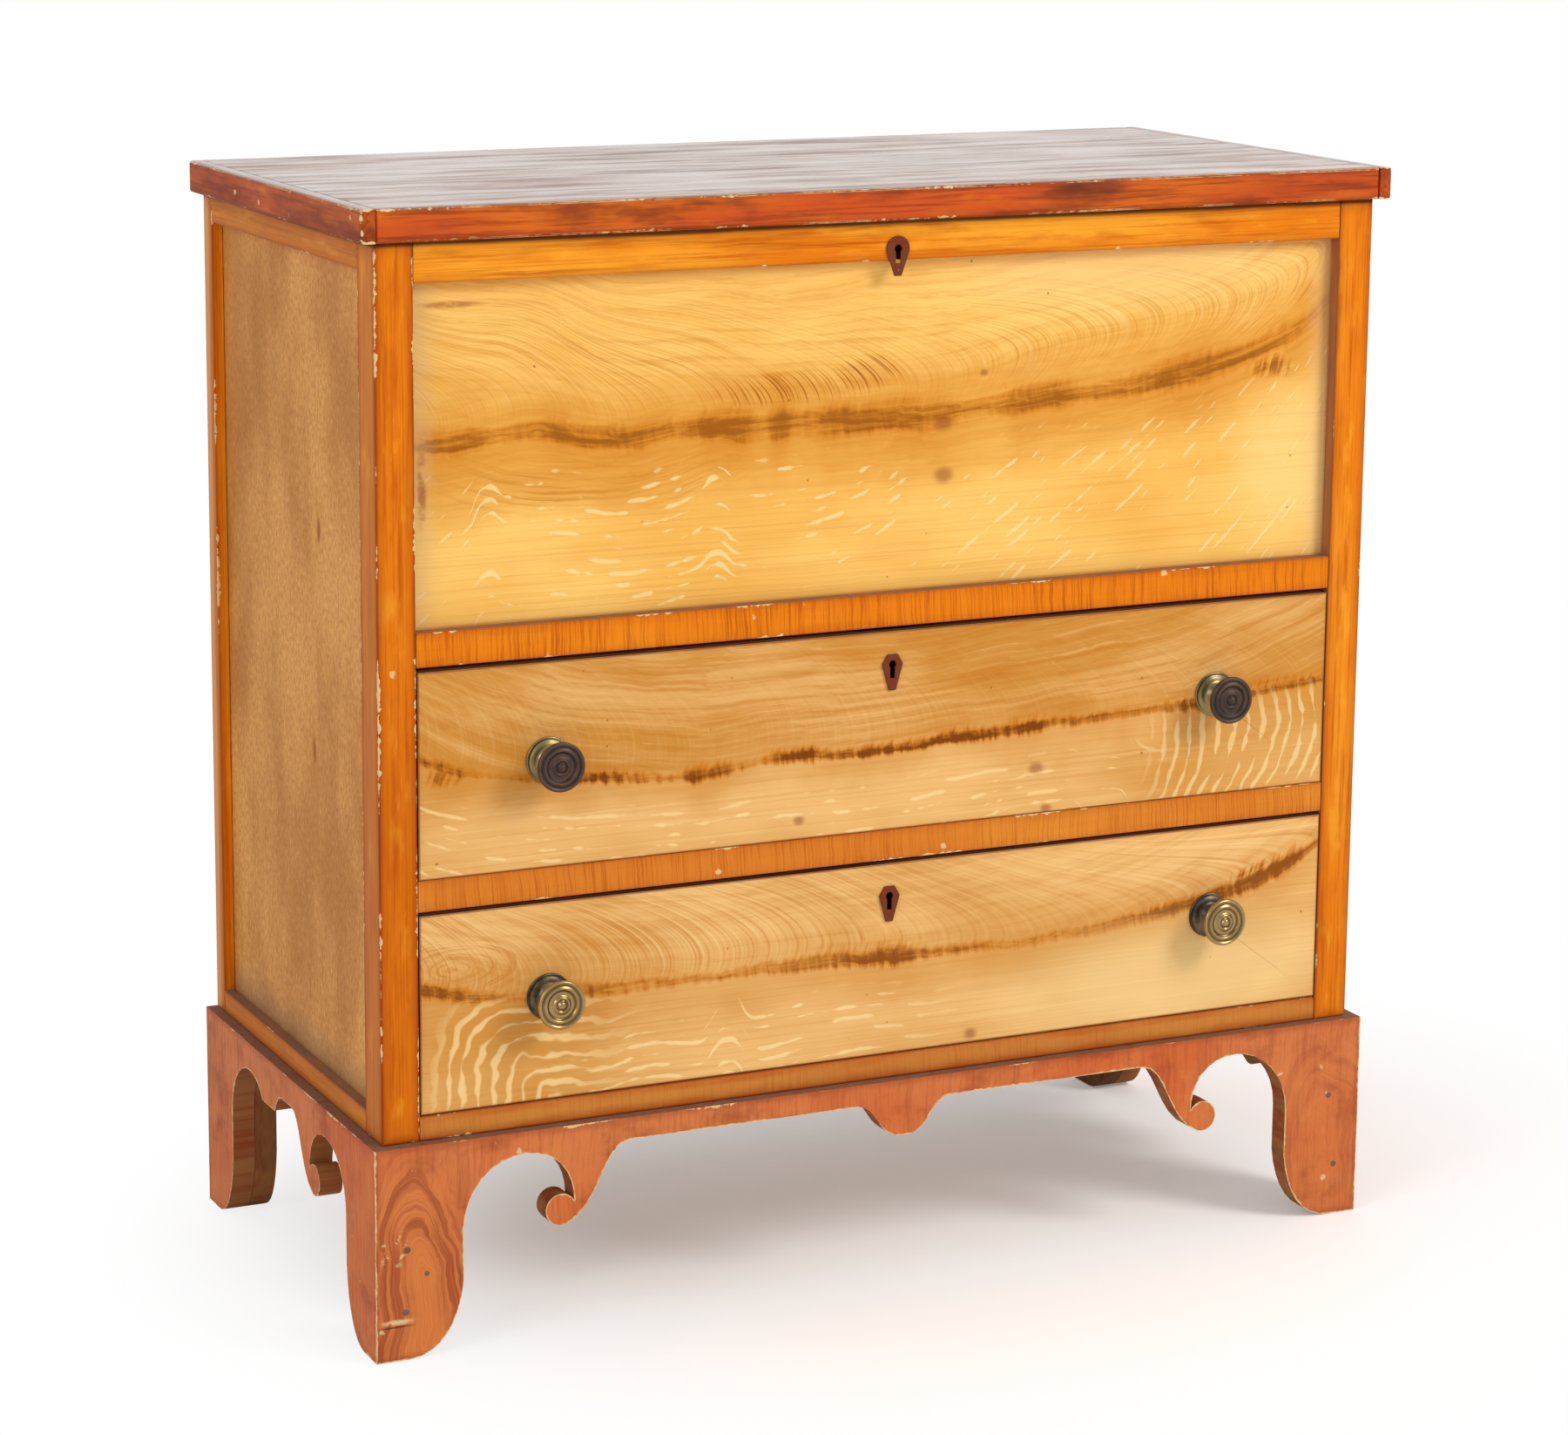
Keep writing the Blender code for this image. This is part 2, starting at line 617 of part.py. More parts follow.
def bolt_mortise(z, top_gap):
    """The pocket in a rail's underside that a drawer's bolt rises into."""
    depth = BOLT_TRAVEL - top_gap + BOLT_MORTISE_SPARE
    x = grow(spread(LOCK_OFFSET, BOLT_WIDTH), 2 * BOLT_CLEARANCE)
    y = grow(spread(bolt_line(), BOLT_THICKNESS), 2 * BOLT_CLEARANCE)
    return box(x, y, (z - CUT_MARGIN, z + depth))


def front_rails(chest):
    bottom = crossing_rail("bottom_front_rail")
    round_edges(bottom, lambda co: near(co.y, 0.0) and near(co.z, LOWER_DRAWER_Z), BOTTOM_RAIL_ROUND)
    divider = cut(crossing_rail("drawer_divider"), bolt_mortise(DIVIDER_Z, LOWER_TOP_GAP))
    middle = cut(crossing_rail("middle_rail"), bolt_mortise(MIDDLE_RAIL_Z, UPPER_TOP_GAP))
    floor_groove = grow((FLOOR_Z, FLOOR_Z + FLOOR_THICKNESS))
    groove_y = (FRONT_POST_DEPTH - PANEL_GROOVE, FRONT_POST_DEPTH + CUT_MARGIN)
    cut(middle, box(past(-OPENING_HALF, OPENING_HALF), groove_y, floor_groove))
    cut(middle, box(*front_panel_groove()))
    top = cut(crossing_rail("top_front_rail"), box(*front_panel_groove()))
    cut(top, keyhole(CASE_TOP - LID_KEYHOLE_DROP, past(0.0, TOP_RAIL_DEPTH)))
    place("bottom_front_rail", bottom, "amber_frame", chest)
    place("drawer_divider", divider, "amber_frame", chest)
    place("middle_rail", middle, "amber_frame", chest)
    place("top_front_rail", top, "amber_frame", chest)


def front_panel(chest):
    panel = box(*(grow(extent, -JOINT_GAP) for extent in front_panel_groove()))
    cut(panel, keyhole(CASE_TOP - LID_KEYHOLE_DROP, past(PANEL_RECESS, PANEL_RECESS + PANEL_THICKNESS)))
    place("front_panel", panel, "ochre_panel", chest)


def side_frame(side, chest):
    """The two rails and the panel between a front post and a back post."""
    x = aside(side, SIDE_RAIL_INNER, HALF_WIDTH)
    y = (FRONT_POST_DEPTH + JOINT_GAP, BACK_POST_Y - JOINT_GAP)
    for name, z in side_rail_heights().items():
        rail = box(x, y, z)
        for end in (FRONT_POST_DEPTH, BACK_POST_Y):
            unite(rail, box(*side_tenon(side, end, z)))
        cut(rail, box(*side_panel_groove(side)))
        place(name + "_" + SIDE_NAMES[side], rail, "amber_frame", chest)
    panel = box(*(grow(extent, -JOINT_GAP) for extent in side_panel_groove(side)))
    place("side_panel_" + SIDE_NAMES[side], panel, "tan_panel", chest)


def back(chest):
    rail = crossing_rail("back_top_rail")
    for side in (LEFT, RIGHT):
        x = grow(spread(side * HINGE_OFFSET, HINGE_LENGTH))
        y = (CASE_DEPTH - LEAF_DEPTH - JOINT_GAP, CASE_DEPTH + CUT_MARGIN)
        cut(rail, box(x, y, (CASE_TOP - LEAF_THICKNESS - JOINT_GAP, CASE_TOP + CUT_MARGIN)))
    place("back_top_rail", rail, "bare_pine", chest)
    reach = OPENING_HALF + BACK_BOARD_REBATE - JOINT_GAP
    board_z = (BOTTOM_RAIL_Z, BACK_RAIL_Z - JOINT_GAP)
    board = box((-reach, reach), (BACK_BOARD_Y + JOINT_GAP, CASE_DEPTH), board_z)
    groove_y = (BACK_BOARD_Y - CUT_MARGIN, BACK_BOARD_Y + BACK_BOARD_GROOVE)
    groove_z = grow((FLOOR_Z, FLOOR_Z + FLOOR_THICKNESS))
    cut(board, box((-OPENING_HALF, OPENING_HALF), groove_y, groove_z))
    place("back_board", board, "bare_pine", chest)


def well_floor(chest):
    wide = SIDE_PANEL_INNER - JOINT_GAP
    narrow = OPENING_HALF - JOINT_GAP
    front = FRONT_POST_DEPTH - PANEL_GROOVE + JOINT_GAP
    front_notch = FRONT_POST_DEPTH + JOINT_GAP
    back_notch = BACK_POST_Y - JOINT_GAP
    half = [(narrow, front), (narrow, front_notch), (wide, front_notch)]
    half += [(wide, back_notch), (narrow, back_notch)]
    half += [(narrow, BACK_BOARD_Y + BACK_BOARD_GROOVE - JOINT_GAP)]
    outline = half + [(-x, y) for x, y in reversed(half)]
    floor = prism("Z", outline, (FLOOR_Z, FLOOR_Z + FLOOR_THICKNESS))
    place("well_floor", floor, "bare_pine", chest)


def drawer_runners(prefix, top, chest):
    """Rebated strips: each carries a drawer's side and guides it in line with the posts."""
    outer = SIDE_RAIL_INNER - JOINT_GAP
    inner = OPENING_HALF - RUNNER_WIDTH
    under = top - RUNNER_THICKNESS
    crest = top + GUIDE_HEIGHT
    profile = [(inner, under), (outer, under), (outer, crest), (OPENING_HALF, crest)]
    profile += [(OPENING_HALF, top), (inner, top)]
    for side in (LEFT, RIGHT):
        y = (FRONT_POST_DEPTH + JOINT_GAP, BACK_POST_Y - JOINT_GAP)
        runner = prism("Y", [(side * x, z) for x, z in profile], y)
        place(prefix + "_runner_" + SIDE_NAMES[side], runner, "bare_pine", chest)


# Lid and hinges

def lid(pivot):
    strip_z = (LID_Z - LID_LIP, LID_TOP)
    strip_inner = LID_HALF + JOINT_GAP
    strip_outer = strip_inner + LID_SIDE_STRIP
    board_front = -LID_CLEARANCE
    front_y = board_front - JOINT_GAP
    nose = front_y - LID_FRONT_STRIP
    board = box((-LID_HALF, LID_HALF), (board_front, LID_BACK), (LID_Z, LID_TOP))
    for side in (LEFT, RIGHT):
        x = grow(spread(side * HINGE_OFFSET, HINGE_LENGTH))
        y = (CASE_DEPTH - LEAF_DEPTH - JOINT_GAP, LID_BACK + CUT_MARGIN)
        cut(board, box(x, y, (LID_Z - CUT_MARGIN, LID_Z + LEAF_THICKNESS + JOINT_GAP)))
    x, y, z = link_plate()
    cut(board, box(grow(x), grow(y), (LID_Z - CUT_MARGIN, z[1] + JOINT_GAP)))
    place("lid_board", board, "dark_top", pivot)
    front = box((-LID_HALF, LID_HALF), (nose, front_y), strip_z)
    round_edges(front, lambda co: near(co.y, nose), LID_ROUND)
    place("lid_front_edge", front, "red_edge", pivot)
    for side in (LEFT, RIGHT):
        strip = box(aside(side, strip_inner, strip_outer), (nose, LID_BACK), strip_z)
        round_edges(strip, lambda co, edge=side * strip_outer: near(co.x, edge), LID_ROUND)
        place("lid_" + SIDE_NAMES[side] + "_edge", strip, "red_edge", pivot)


def hinge_leaf(x, z, own):
    """A leaf with its share of the knuckles: own is 0 for the outer ones and 1 for those between.

    The pin is fast in the outer knuckles, so it is one body with their leaf.
    """
    knuckle = HINGE_LENGTH / HINGE_KNUCKLES
    length = spread(x, HINGE_LENGTH)
    leaf = box(length, (CASE_DEPTH - LEAF_DEPTH, HINGE_Y), z)
    for index in range(HINGE_KNUCKLES):
        start = length[0] + index * knuckle
        stretch = (start, start + knuckle)
        if index % 2 == own:
            unite(leaf, rod(grow(stretch, -JOINT_GAP / 2), KNUCKLE_RADIUS))
        else:
            cut(leaf, rod(grow(stretch, JOINT_GAP / 2), KNUCKLE_RADIUS + JOINT_GAP))
    if own:
        cut(leaf, rod(past(*length), HINGE_PIN_RADIUS + JOINT_GAP))
    else:
        unite(leaf, rod(grow(length, -JOINT_GAP), HINGE_PIN_RADIUS))
    return leaf


def hinges(chest, pivot):
    for side in (LEFT, RIGHT):
        x = side * HINGE_OFFSET
        case_leaf = hinge_leaf(x, (CASE_TOP - LEAF_THICKNESS, CASE_TOP), 0)
        lid_leaf = hinge_leaf(x, (LID_Z, LID_Z + LEAF_THICKNESS), 1)
        place("hinge_case_leaf_" + SIDE_NAMES[side], case_leaf, "old_iron", chest)
        place("hinge_lid_leaf_" + SIDE_NAMES[side], lid_leaf, "old_iron", pivot)


# Locks

def keyhole(z, y):
    """A keyhole's outline, round above and slotted below, as a cutter along Y."""
    half = KEYHOLE_SLOT / 2
    meet = math.asin(half / KEYHOLE_RADIUS)
    foot = z - KEYHOLE_LENGTH
    outline = arc((LOCK_OFFSET, z), KEYHOLE_RADIUS, meet - math.pi / 2, 1.5 * math.pi - meet)
    outline += [(LOCK_OFFSET - half, foot), (LOCK_OFFSET + half, foot)]
    return prism("Y", outline, y)


def lid_bolt():
    """The lid lock's bolt: its three ranges with the lock open."""
    end = LOCK_OFFSET - STAPLE_THICKNESS / 2 - STAPLE_CLEARANCE - BOLT_CLEARANCE
    y = spread(LID_LOCK_Y + LID_LOCK_DEPTH / 2, LID_BOLT_THICKNESS)
    return (end - LID_BOLT_LENGTH, end), y, spread(staple_eye_z(), LID_BOLT_HEIGHT)


def staple_eye_z():
    return CASE_TOP - STAPLE_WALL - BOLT_CLEARANCE - LID_BOLT_HEIGHT / 2


def link_plate():
    """The plate let into the underside of the lid over the lid lock."""
    y = spread(LID_LOCK_Y + LID_LOCK_DEPTH / 2, LINK_DEPTH)
    return spread(LOCK_OFFSET, LINK_WIDTH), y, (LID_Z, LID_Z + LINK_THICKNESS)


def staple():
    """The tongue under the link plate that the bolt goes through."""
    bolt_y = lid_bolt()[1]
    y = grow(bolt_y, BOLT_CLEARANCE + STAPLE_WALL)
    low = staple_eye_z() - LID_BOLT_HEIGHT / 2 - BOLT_CLEARANCE - STAPLE_WALL
    return spread(LOCK_OFFSET, STAPLE_THICKNESS), y, (low, LID_Z + LINK_THICKNESS / 2)


def lid_lock(chest, pivot, slide):
    bolt_x, bolt_y, bolt_z = lid_bolt()
    x = spread(LOCK_OFFSET, LID_LOCK_WIDTH)
    y = (LID_LOCK_Y, LID_LOCK_Y + LID_LOCK_DEPTH)
    case = box(x, y, (CASE_TOP - LID_LOCK_HEIGHT, CASE_TOP))
    staple_x, staple_y, staple_z = staple()
    slot_z = (staple_z[0] - STAPLE_CLEARANCE, CASE_TOP + CUT_MARGIN)
    cut(case, box(grow(staple_x, STAPLE_CLEARANCE), grow(staple_y, STAPLE_CLEARANCE), slot_z))
    channel_x = (bolt_x[0] - BOLT_CLEARANCE, bolt_x[1] + BOLT_TRAVEL + BOLT_MORTISE_SPARE)
    cut(case, box(channel_x, grow(bolt_y, BOLT_CLEARANCE), grow(bolt_z, BOLT_CLEARANCE)))
    cut(case, keyhole(CASE_TOP - LID_KEYHOLE_DROP, (y[0] - CUT_MARGIN, y[0] + KEY_POCKET)))
    place("lid_lock_case", case, "old_iron", chest)
    place("lid_lock_bolt", box(bolt_x, bolt_y, bolt_z), "old_iron", slide)
    link = unite(box(*link_plate()), box(staple_x, staple_y, staple_z))
    eye_y = grow(bolt_y, BOLT_CLEARANCE)
    cut(link, box(past(*staple_x), eye_y, grow(bolt_z, BOLT_CLEARANCE)))
    place("lid_link_plate", link, "old_iron", pivot)
    lid_escutcheon(chest)


def lid_escutcheon(chest):
    """Round-headed plate that narrows to a blunt tip below the top rail."""
    centre = (LOCK_OFFSET, CASE_TOP - LID_KEYHOLE_DROP)
    foot = centre[1] - LID_ESCUTCHEON_DROP
    half_tip = ESCUTCHEON_TIP / 2
    outline = arc(centre, LID_ESCUTCHEON_RADIUS, -LID_ESCUTCHEON_NECK, math.pi + LID_ESCUTCHEON_NECK)
    outline += [(centre[0] - half_tip, foot), (centre[0] + half_tip, foot)]
    y = (-JOINT_GAP - ESCUTCHEON_THICKNESS, -JOINT_GAP)
    plate = cut(prism("Y", outline, y), keyhole(centre[1], past(*y)))
    place("lid_escutcheon", plate, "red_plate", chest)


def bolt_line():
    """Y of the middle of a drawer lock's bolt."""
    return DRAWER_FRONT_THICKNESS - LOCK_DEPTH / 2


def drawer_lock_box(top):
    y = (DRAWER_FRONT_THICKNESS - LOCK_DEPTH, DRAWER_FRONT_THICKNESS)
    return spread(LOCK_OFFSET, LOCK_WIDTH), y, (top - LOCK_HEIGHT, top)


def drawer_lock(prefix, top, carrier, slide):
    x, y, z = drawer_lock_box(top)
    case = box(x, y, z)
    bolt_x = spread(LOCK_OFFSET, BOLT_WIDTH)
    bolt_y = spread(bolt_line(), BOLT_THICKNESS)
    bolt_z = (top - BOLT_HEIGHT, top)
    channel_z = (bolt_z[0] - BOLT_CLEARANCE, top + CUT_MARGIN)
    cut(case, box(grow(bolt_x, BOLT_CLEARANCE), grow(bolt_y, BOLT_CLEARANCE), channel_z))
    key_z = top - LOCK_KEYHOLE_DROP
    cut(case, keyhole(key_z, (y[0] - CUT_MARGIN, y[0] + KEY_POCKET)))
    place(prefix + "_lock_case", case, "old_iron", carrier)
    place(prefix + "_lock_bolt", box(bolt_x, bolt_y, bolt_z), "old_iron", slide)
    head = key_z + ESCUTCHEON_HEAD_RISE
    widest = head - ESCUTCHEON_SHOULDER
    foot = head - ESCUTCHEON_HEIGHT
    half = [(ESCUTCHEON_TIP / 2, foot), (ESCUTCHEON_WIDTH / 2, widest), (ESCUTCHEON_HEAD / 2, head)]
    outline = [(LOCK_OFFSET + u, v) for u, v in half]
    outline += [(LOCK_OFFSET - u, v) for u, v in reversed(half)]
    plate_y = (-JOINT_GAP - ESCUTCHEON_THICKNESS, -JOINT_GAP)
    plate = cut(prism("Y", outline, plate_y), keyhole(key_z, past(*plate_y)))
    place(prefix + "_escutcheon", plate, "red_plate", carrier)


# Drawers

def drawer_lines(bottom, top):
    """The lines that the boards of a drawer share."""
    half = OPENING_HALF - DRAWER_SIDE_GAP
    inside = half - DRAWER_SIDE_THICKNESS
    floor_low = bottom + DRAWER_BOTTOM_RISE
    floor_high = floor_low + DRAWER_BOTTOM_THICKNESS
    return SimpleNamespace(
        bottom=bottom,
        top=top,
        side_top=top - DRAWER_SIDE_DROP,
        half=half,
        inside=inside,
        back_y=BACK_BOARD_Y - DRAWER_SIDE_THICKNESS,
        end=BACK_BOARD_Y,
        floor=(floor_low, floor_high),
        groove_x=inside + DRAWER_GROOVE,
        groove_z=grow((floor_low, floor_high)),
        knob_z=(bottom + top) / 2 + KNOB_RISE,
    )


def tails(lines, root, tip, extra=0.0, drawn=None):
    """Outlines of the tails on a drawer side's end, in (y, z).

    They widen from root to tip. A socket is the same shape with extra room, drawn past its faces.
    """
    low = lines.bottom + DOVETAIL_START
    pitch = (lines.side_top - low) / DOVETAIL_COUNT
    ends = drawn or (root, tip)
    widths = [DOVETAIL_WIDTH / 2 + extra + DOVETAIL_FLARE * (y - root) / (tip - root) for y in ends]
    outlines = []
    for index in range(DOVETAIL_COUNT):
        middle = low + (index + 0.5) * pitch
        lower = [(y, middle - width) for y, width in zip(ends, widths)]
        upper = [(y, middle + width) for y, width in zip(ends, widths)]
        outlines.append(lower + upper[::-1])
    return outlines


def front_tails(lines, **room):
    return tails(lines, DRAWER_FRONT_THICKNESS + JOINT_GAP, DOVETAIL_LAP + JOINT_GAP, **room)


def back_tails(lines, **room):
    return tails(lines, lines.back_y - JOINT_GAP, lines.end, **room)


def cut_sockets(board, lines, sockets):
    for side in (LEFT, RIGHT):
        x = aside(side, lines.inside - JOINT_GAP, lines.half + CUT_MARGIN)
        for outline in sockets:
            cut(board, prism("X", outline, x))


def drawer_front(lines):
    """The front board: sockets, groove for the bottom, lock recess, keyhole and knob holes."""
    front = box((-lines.half, lines.half), (0.0, DRAWER_FRONT_THICKNESS), (lines.bottom, lines.top))
    groove_y = (DRAWER_FRONT_THICKNESS - DRAWER_GROOVE, DRAWER_FRONT_THICKNESS + CUT_MARGIN)
    cut(front, box((-lines.groove_x, lines.groove_x), groove_y, lines.groove_z))
    drawn = (DRAWER_FRONT_THICKNESS + CUT_MARGIN, DOVETAIL_LAP)
    cut_sockets(front, lines, front_tails(lines, extra=JOINT_GAP, drawn=drawn))
    lock_x, lock_y, lock_z = drawer_lock_box(lines.top)
    recess_y = (lock_y[0] - JOINT_GAP, lock_y[1] + CUT_MARGIN)
    cut(front, box(grow(lock_x), recess_y, (lock_z[0] - JOINT_GAP, lines.top + CUT_MARGIN)))
    through = past(0.0, DRAWER_FRONT_THICKNESS)
    cut(front, keyhole(lines.top - LOCK_KEYHOLE_DROP, through))
    radius = KNOB_SHANK_RADIUS + JOINT_GAP
    hole = [(0.0, through[0]), (radius, through[0]), (radius, through[1]), (0.0, through[1])]
    for side in (LEFT, RIGHT):
        cut(front, turned(hole, side * KNOB_OFFSET, lines.knob_z, HOLE_STEPS))
    return front


def drawer_side(lines, side):
    front_y = DRAWER_FRONT_THICKNESS + JOINT_GAP
    back_y = lines.back_y - JOINT_GAP
    outline = [(front_y, lines.bottom), (back_y, lines.bottom)]
    for tail in back_tails(lines):
        outline += tail
    outline += [(back_y, lines.side_top), (front_y, lines.side_top)]
    for tail in reversed(front_tails(lines)):
        outline += reversed(tail)
    wall = prism("X", outline, aside(side, lines.inside, lines.half))
    groove_x = aside(side, lines.inside - CUT_MARGIN, lines.groove_x)
    cut(wall, box(groove_x, past(DRAWER_FRONT_THICKNESS, lines.end), lines.groove_z))
    return wall


def drawer_back(lines):
    """The back board stands on the bottom, which slides in under it."""
    z = (lines.floor[1] + 2 * JOINT_GAP, lines.top - DRAWER_BACK_DROP)
    board = box((-lines.half, lines.half), (lines.back_y, lines.end), z)
    drawn = past(lines.back_y, lines.end)
    cut_sockets(board, lines, back_tails(lines, extra=JOINT_GAP, drawn=drawn))
    return board


def drawer(prefix, bottom, top, surface, carrier, slide):
    lines = drawer_lines(bottom, top)
    tongue = lines.groove_x - JOINT_GAP
    floor_y = (DRAWER_FRONT_THICKNESS - DRAWER_GROOVE + JOINT_GAP, lines.end)
    floor = box((-tongue, tongue), floor_y, lines.floor)
    place(prefix + "_drawer_front", drawer_front(lines), "ochre_panel", carrier)
    for side in (LEFT, RIGHT):
        place(prefix + "_drawer_side_" + SIDE_NAMES[side], drawer_side(lines, side), "bare_pine", carrier)
    place(prefix + "_drawer_back", drawer_back(lines), "bare_pine", carrier)
    place(prefix + "_drawer_bottom", floor, "bare_pine", carrier)
    drawer_lock(prefix, top, carrier, slide)
    drawer_knobs(prefix, lines.knob_z, surface, carrier)


def knob_profile():
    """Half section of a knob with its rose and shank, from the shank's tail to the crown of the face."""
    tail = DRAWER_FRONT_THICKNESS + JOINT_GAP + NUT_THICKNESS + NUT_TAIL
    back = -JOINT_GAP
    seat = back - ROSE_EDGE[-1][1]
    rim = KNOB_RIM_SET - KNOB_PROJECTION
    profile = [(0.0, tail), (KNOB_SHANK_RADIUS, tail), (KNOB_SHANK_RADIUS, back), (ROSE_RADIUS, back)]
    profile += [(ROSE_RADIUS * share, back - rise) for share, rise in ROSE_EDGE]
    profile += [(KNOB_NECK_RADIUS * share, seat - rise) for share, rise in KNOB_NECK]
    profile += [(KNOB_RADIUS * share, rim + set_back) for share, set_back in KNOB_BACK]
    profile += [(KNOB_RADIUS, rim)]
    profile += [(KNOB_RADIUS * share, rim - rise) for share, rise in KNOB_FACE]
    return profile + [(0.0, -KNOB_PROJECTION)]


def drawer_knobs(prefix, z, surface, carrier):
    """Turned knobs, each one body with its rose and the square nut inside the drawer."""
    nut_front = DRAWER_FRONT_THICKNESS + JOINT_GAP
    for side in (LEFT, RIGHT):
        x = side * KNOB_OFFSET
        knob = turned(knob_profile(), x, z)
        nut_y = (nut_front, nut_front + NUT_THICKNESS)
        unite(knob, box(spread(x, NUT_WIDTH), nut_y, spread(z, NUT_WIDTH)))
        place(prefix + "_knob_" + SIDE_NAMES[side], knob, surface, carrier)


def main():
    clear_scene()
    chest = holder("chest", (0.0, 0.0, 0.0))
    chest.location.y = FRONT_Y
    pivot = holder("lid_pivot", (0.0, HINGE_Y, HINGE_Z), chest)
    lid_slide = holder("lid_bolt_slide", tuple(sum(extent) / 2 for extent in lid_bolt()), chest)
    front_apron(chest)
    for side in (LEFT, RIGHT):
        side_apron(side, chest)
        front_post(side, chest)
        back_post(side, chest)
        side_frame(side, chest)
        rear_foot_block(side, chest)
    front_rails(chest)
    front_panel(chest)
    back(chest)
    well_floor(chest)
    lid(pivot)
    hinges(chest, pivot)
    lid_lock(chest, pivot, lid_slide)
    drawers = {
        "upper": (UPPER_DRAWER_Z, UPPER_OPENING, UPPER_TOP_GAP, "dark_brass"),
        "lower": (LOWER_DRAWER_Z, LOWER_OPENING, LOWER_TOP_GAP, "bright_brass"),
    }
    for prefix, (low, opening, top_gap, surface) in drawers.items():
        bottom = low + JOINT_GAP
        top = low + opening - top_gap
        carrier = holder(prefix + "_drawer_slide", (0.0, 0.0, bottom), chest)
        slide = holder(prefix + "_bolt_slide", (LOCK_OFFSET, bolt_line(), top), carrier)
        drawer_runners(prefix, low, chest)
        drawer(prefix, bottom, top, surface, carrier, slide)


main()
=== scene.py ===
"""A mule chest in painted graining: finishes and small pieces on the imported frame, and a plain stage."""

import json
import math
from functools import partial, reduce

import bmesh
import bpy
from bpy.props import FloatProperty, FloatVectorProperty, IntProperty, PointerProperty
from mathutils import Matrix, Vector, noise

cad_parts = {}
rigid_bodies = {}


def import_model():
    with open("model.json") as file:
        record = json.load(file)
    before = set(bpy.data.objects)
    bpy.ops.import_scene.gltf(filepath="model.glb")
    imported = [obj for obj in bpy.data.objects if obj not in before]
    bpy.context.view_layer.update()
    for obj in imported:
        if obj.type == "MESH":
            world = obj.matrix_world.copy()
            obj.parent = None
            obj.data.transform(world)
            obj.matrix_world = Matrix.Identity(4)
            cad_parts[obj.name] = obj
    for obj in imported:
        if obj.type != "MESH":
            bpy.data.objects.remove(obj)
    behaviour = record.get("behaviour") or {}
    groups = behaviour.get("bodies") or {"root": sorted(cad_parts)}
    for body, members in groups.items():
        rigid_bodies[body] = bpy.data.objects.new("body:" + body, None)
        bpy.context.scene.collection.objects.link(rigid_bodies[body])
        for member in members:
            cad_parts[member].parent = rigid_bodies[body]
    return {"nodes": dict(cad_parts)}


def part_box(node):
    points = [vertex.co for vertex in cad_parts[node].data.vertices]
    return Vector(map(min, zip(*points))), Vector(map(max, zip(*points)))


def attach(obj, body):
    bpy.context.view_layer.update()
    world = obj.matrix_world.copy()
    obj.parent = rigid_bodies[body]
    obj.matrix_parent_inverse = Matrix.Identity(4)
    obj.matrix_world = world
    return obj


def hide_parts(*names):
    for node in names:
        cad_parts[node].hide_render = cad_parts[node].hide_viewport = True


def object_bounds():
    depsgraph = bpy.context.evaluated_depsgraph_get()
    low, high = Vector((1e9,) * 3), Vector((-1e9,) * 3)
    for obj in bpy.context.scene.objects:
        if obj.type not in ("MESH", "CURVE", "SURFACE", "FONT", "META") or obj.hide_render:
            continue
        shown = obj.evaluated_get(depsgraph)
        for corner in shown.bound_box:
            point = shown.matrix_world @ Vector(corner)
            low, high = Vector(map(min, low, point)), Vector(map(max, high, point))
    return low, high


bl_info = {
    "name": "Grain-painted mule chest",
    "version": (1, 0, 0),
    "blender": (4, 5, 0),
    "location": "View3D > Sidebar > Chest",
    "description": "Dresses a jointed mule chest in painted graining, brass and iron",
    "category": "Object",
}

for left_over in list(bpy.data.objects):
    bpy.data.objects.remove(left_over)
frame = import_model()
CAD_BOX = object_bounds()

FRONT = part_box("upper_drawer_front")[0].y  # the plane of the case's front
OPENING_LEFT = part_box("front_post_left")[1].x
OPENING_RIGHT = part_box("front_post_right")[0].x


# ---------------------------------------------------------------- sizes and colours


def chip(red, green, blue):
    """A paint chip's colour, given in steps of 0 to 255, as Blender's own colour."""
    return tuple(
        c / 12.92 if c <= 0.04045 else ((c + 0.055) / 1.055) ** 2.4
        for c in (red / 255, green / 255, blue / 255)
    )


def colour(name, description, red, green, blue):
    """A colour that a user may change."""
    return FloatVectorProperty(
        name=name, description=description, subtype="COLOR", size=3, min=0, max=1,
        default=chip(red, green, blue),
    )


def length(name, description, metres):
    """A length that a user may change."""
    return FloatProperty(
        name=name, description=description, subtype="DISTANCE", unit="LENGTH", min=0, default=metres
    )


def power(name, description, watts):
    """A lamp's power that a user may change."""
    return FloatProperty(name=name, description=description, subtype="POWER", unit="POWER", default=watts)


def angle(name, description, radians):
    """An angle that a user may change."""
    return FloatProperty(name=name, description=description, subtype="ANGLE", default=radians)


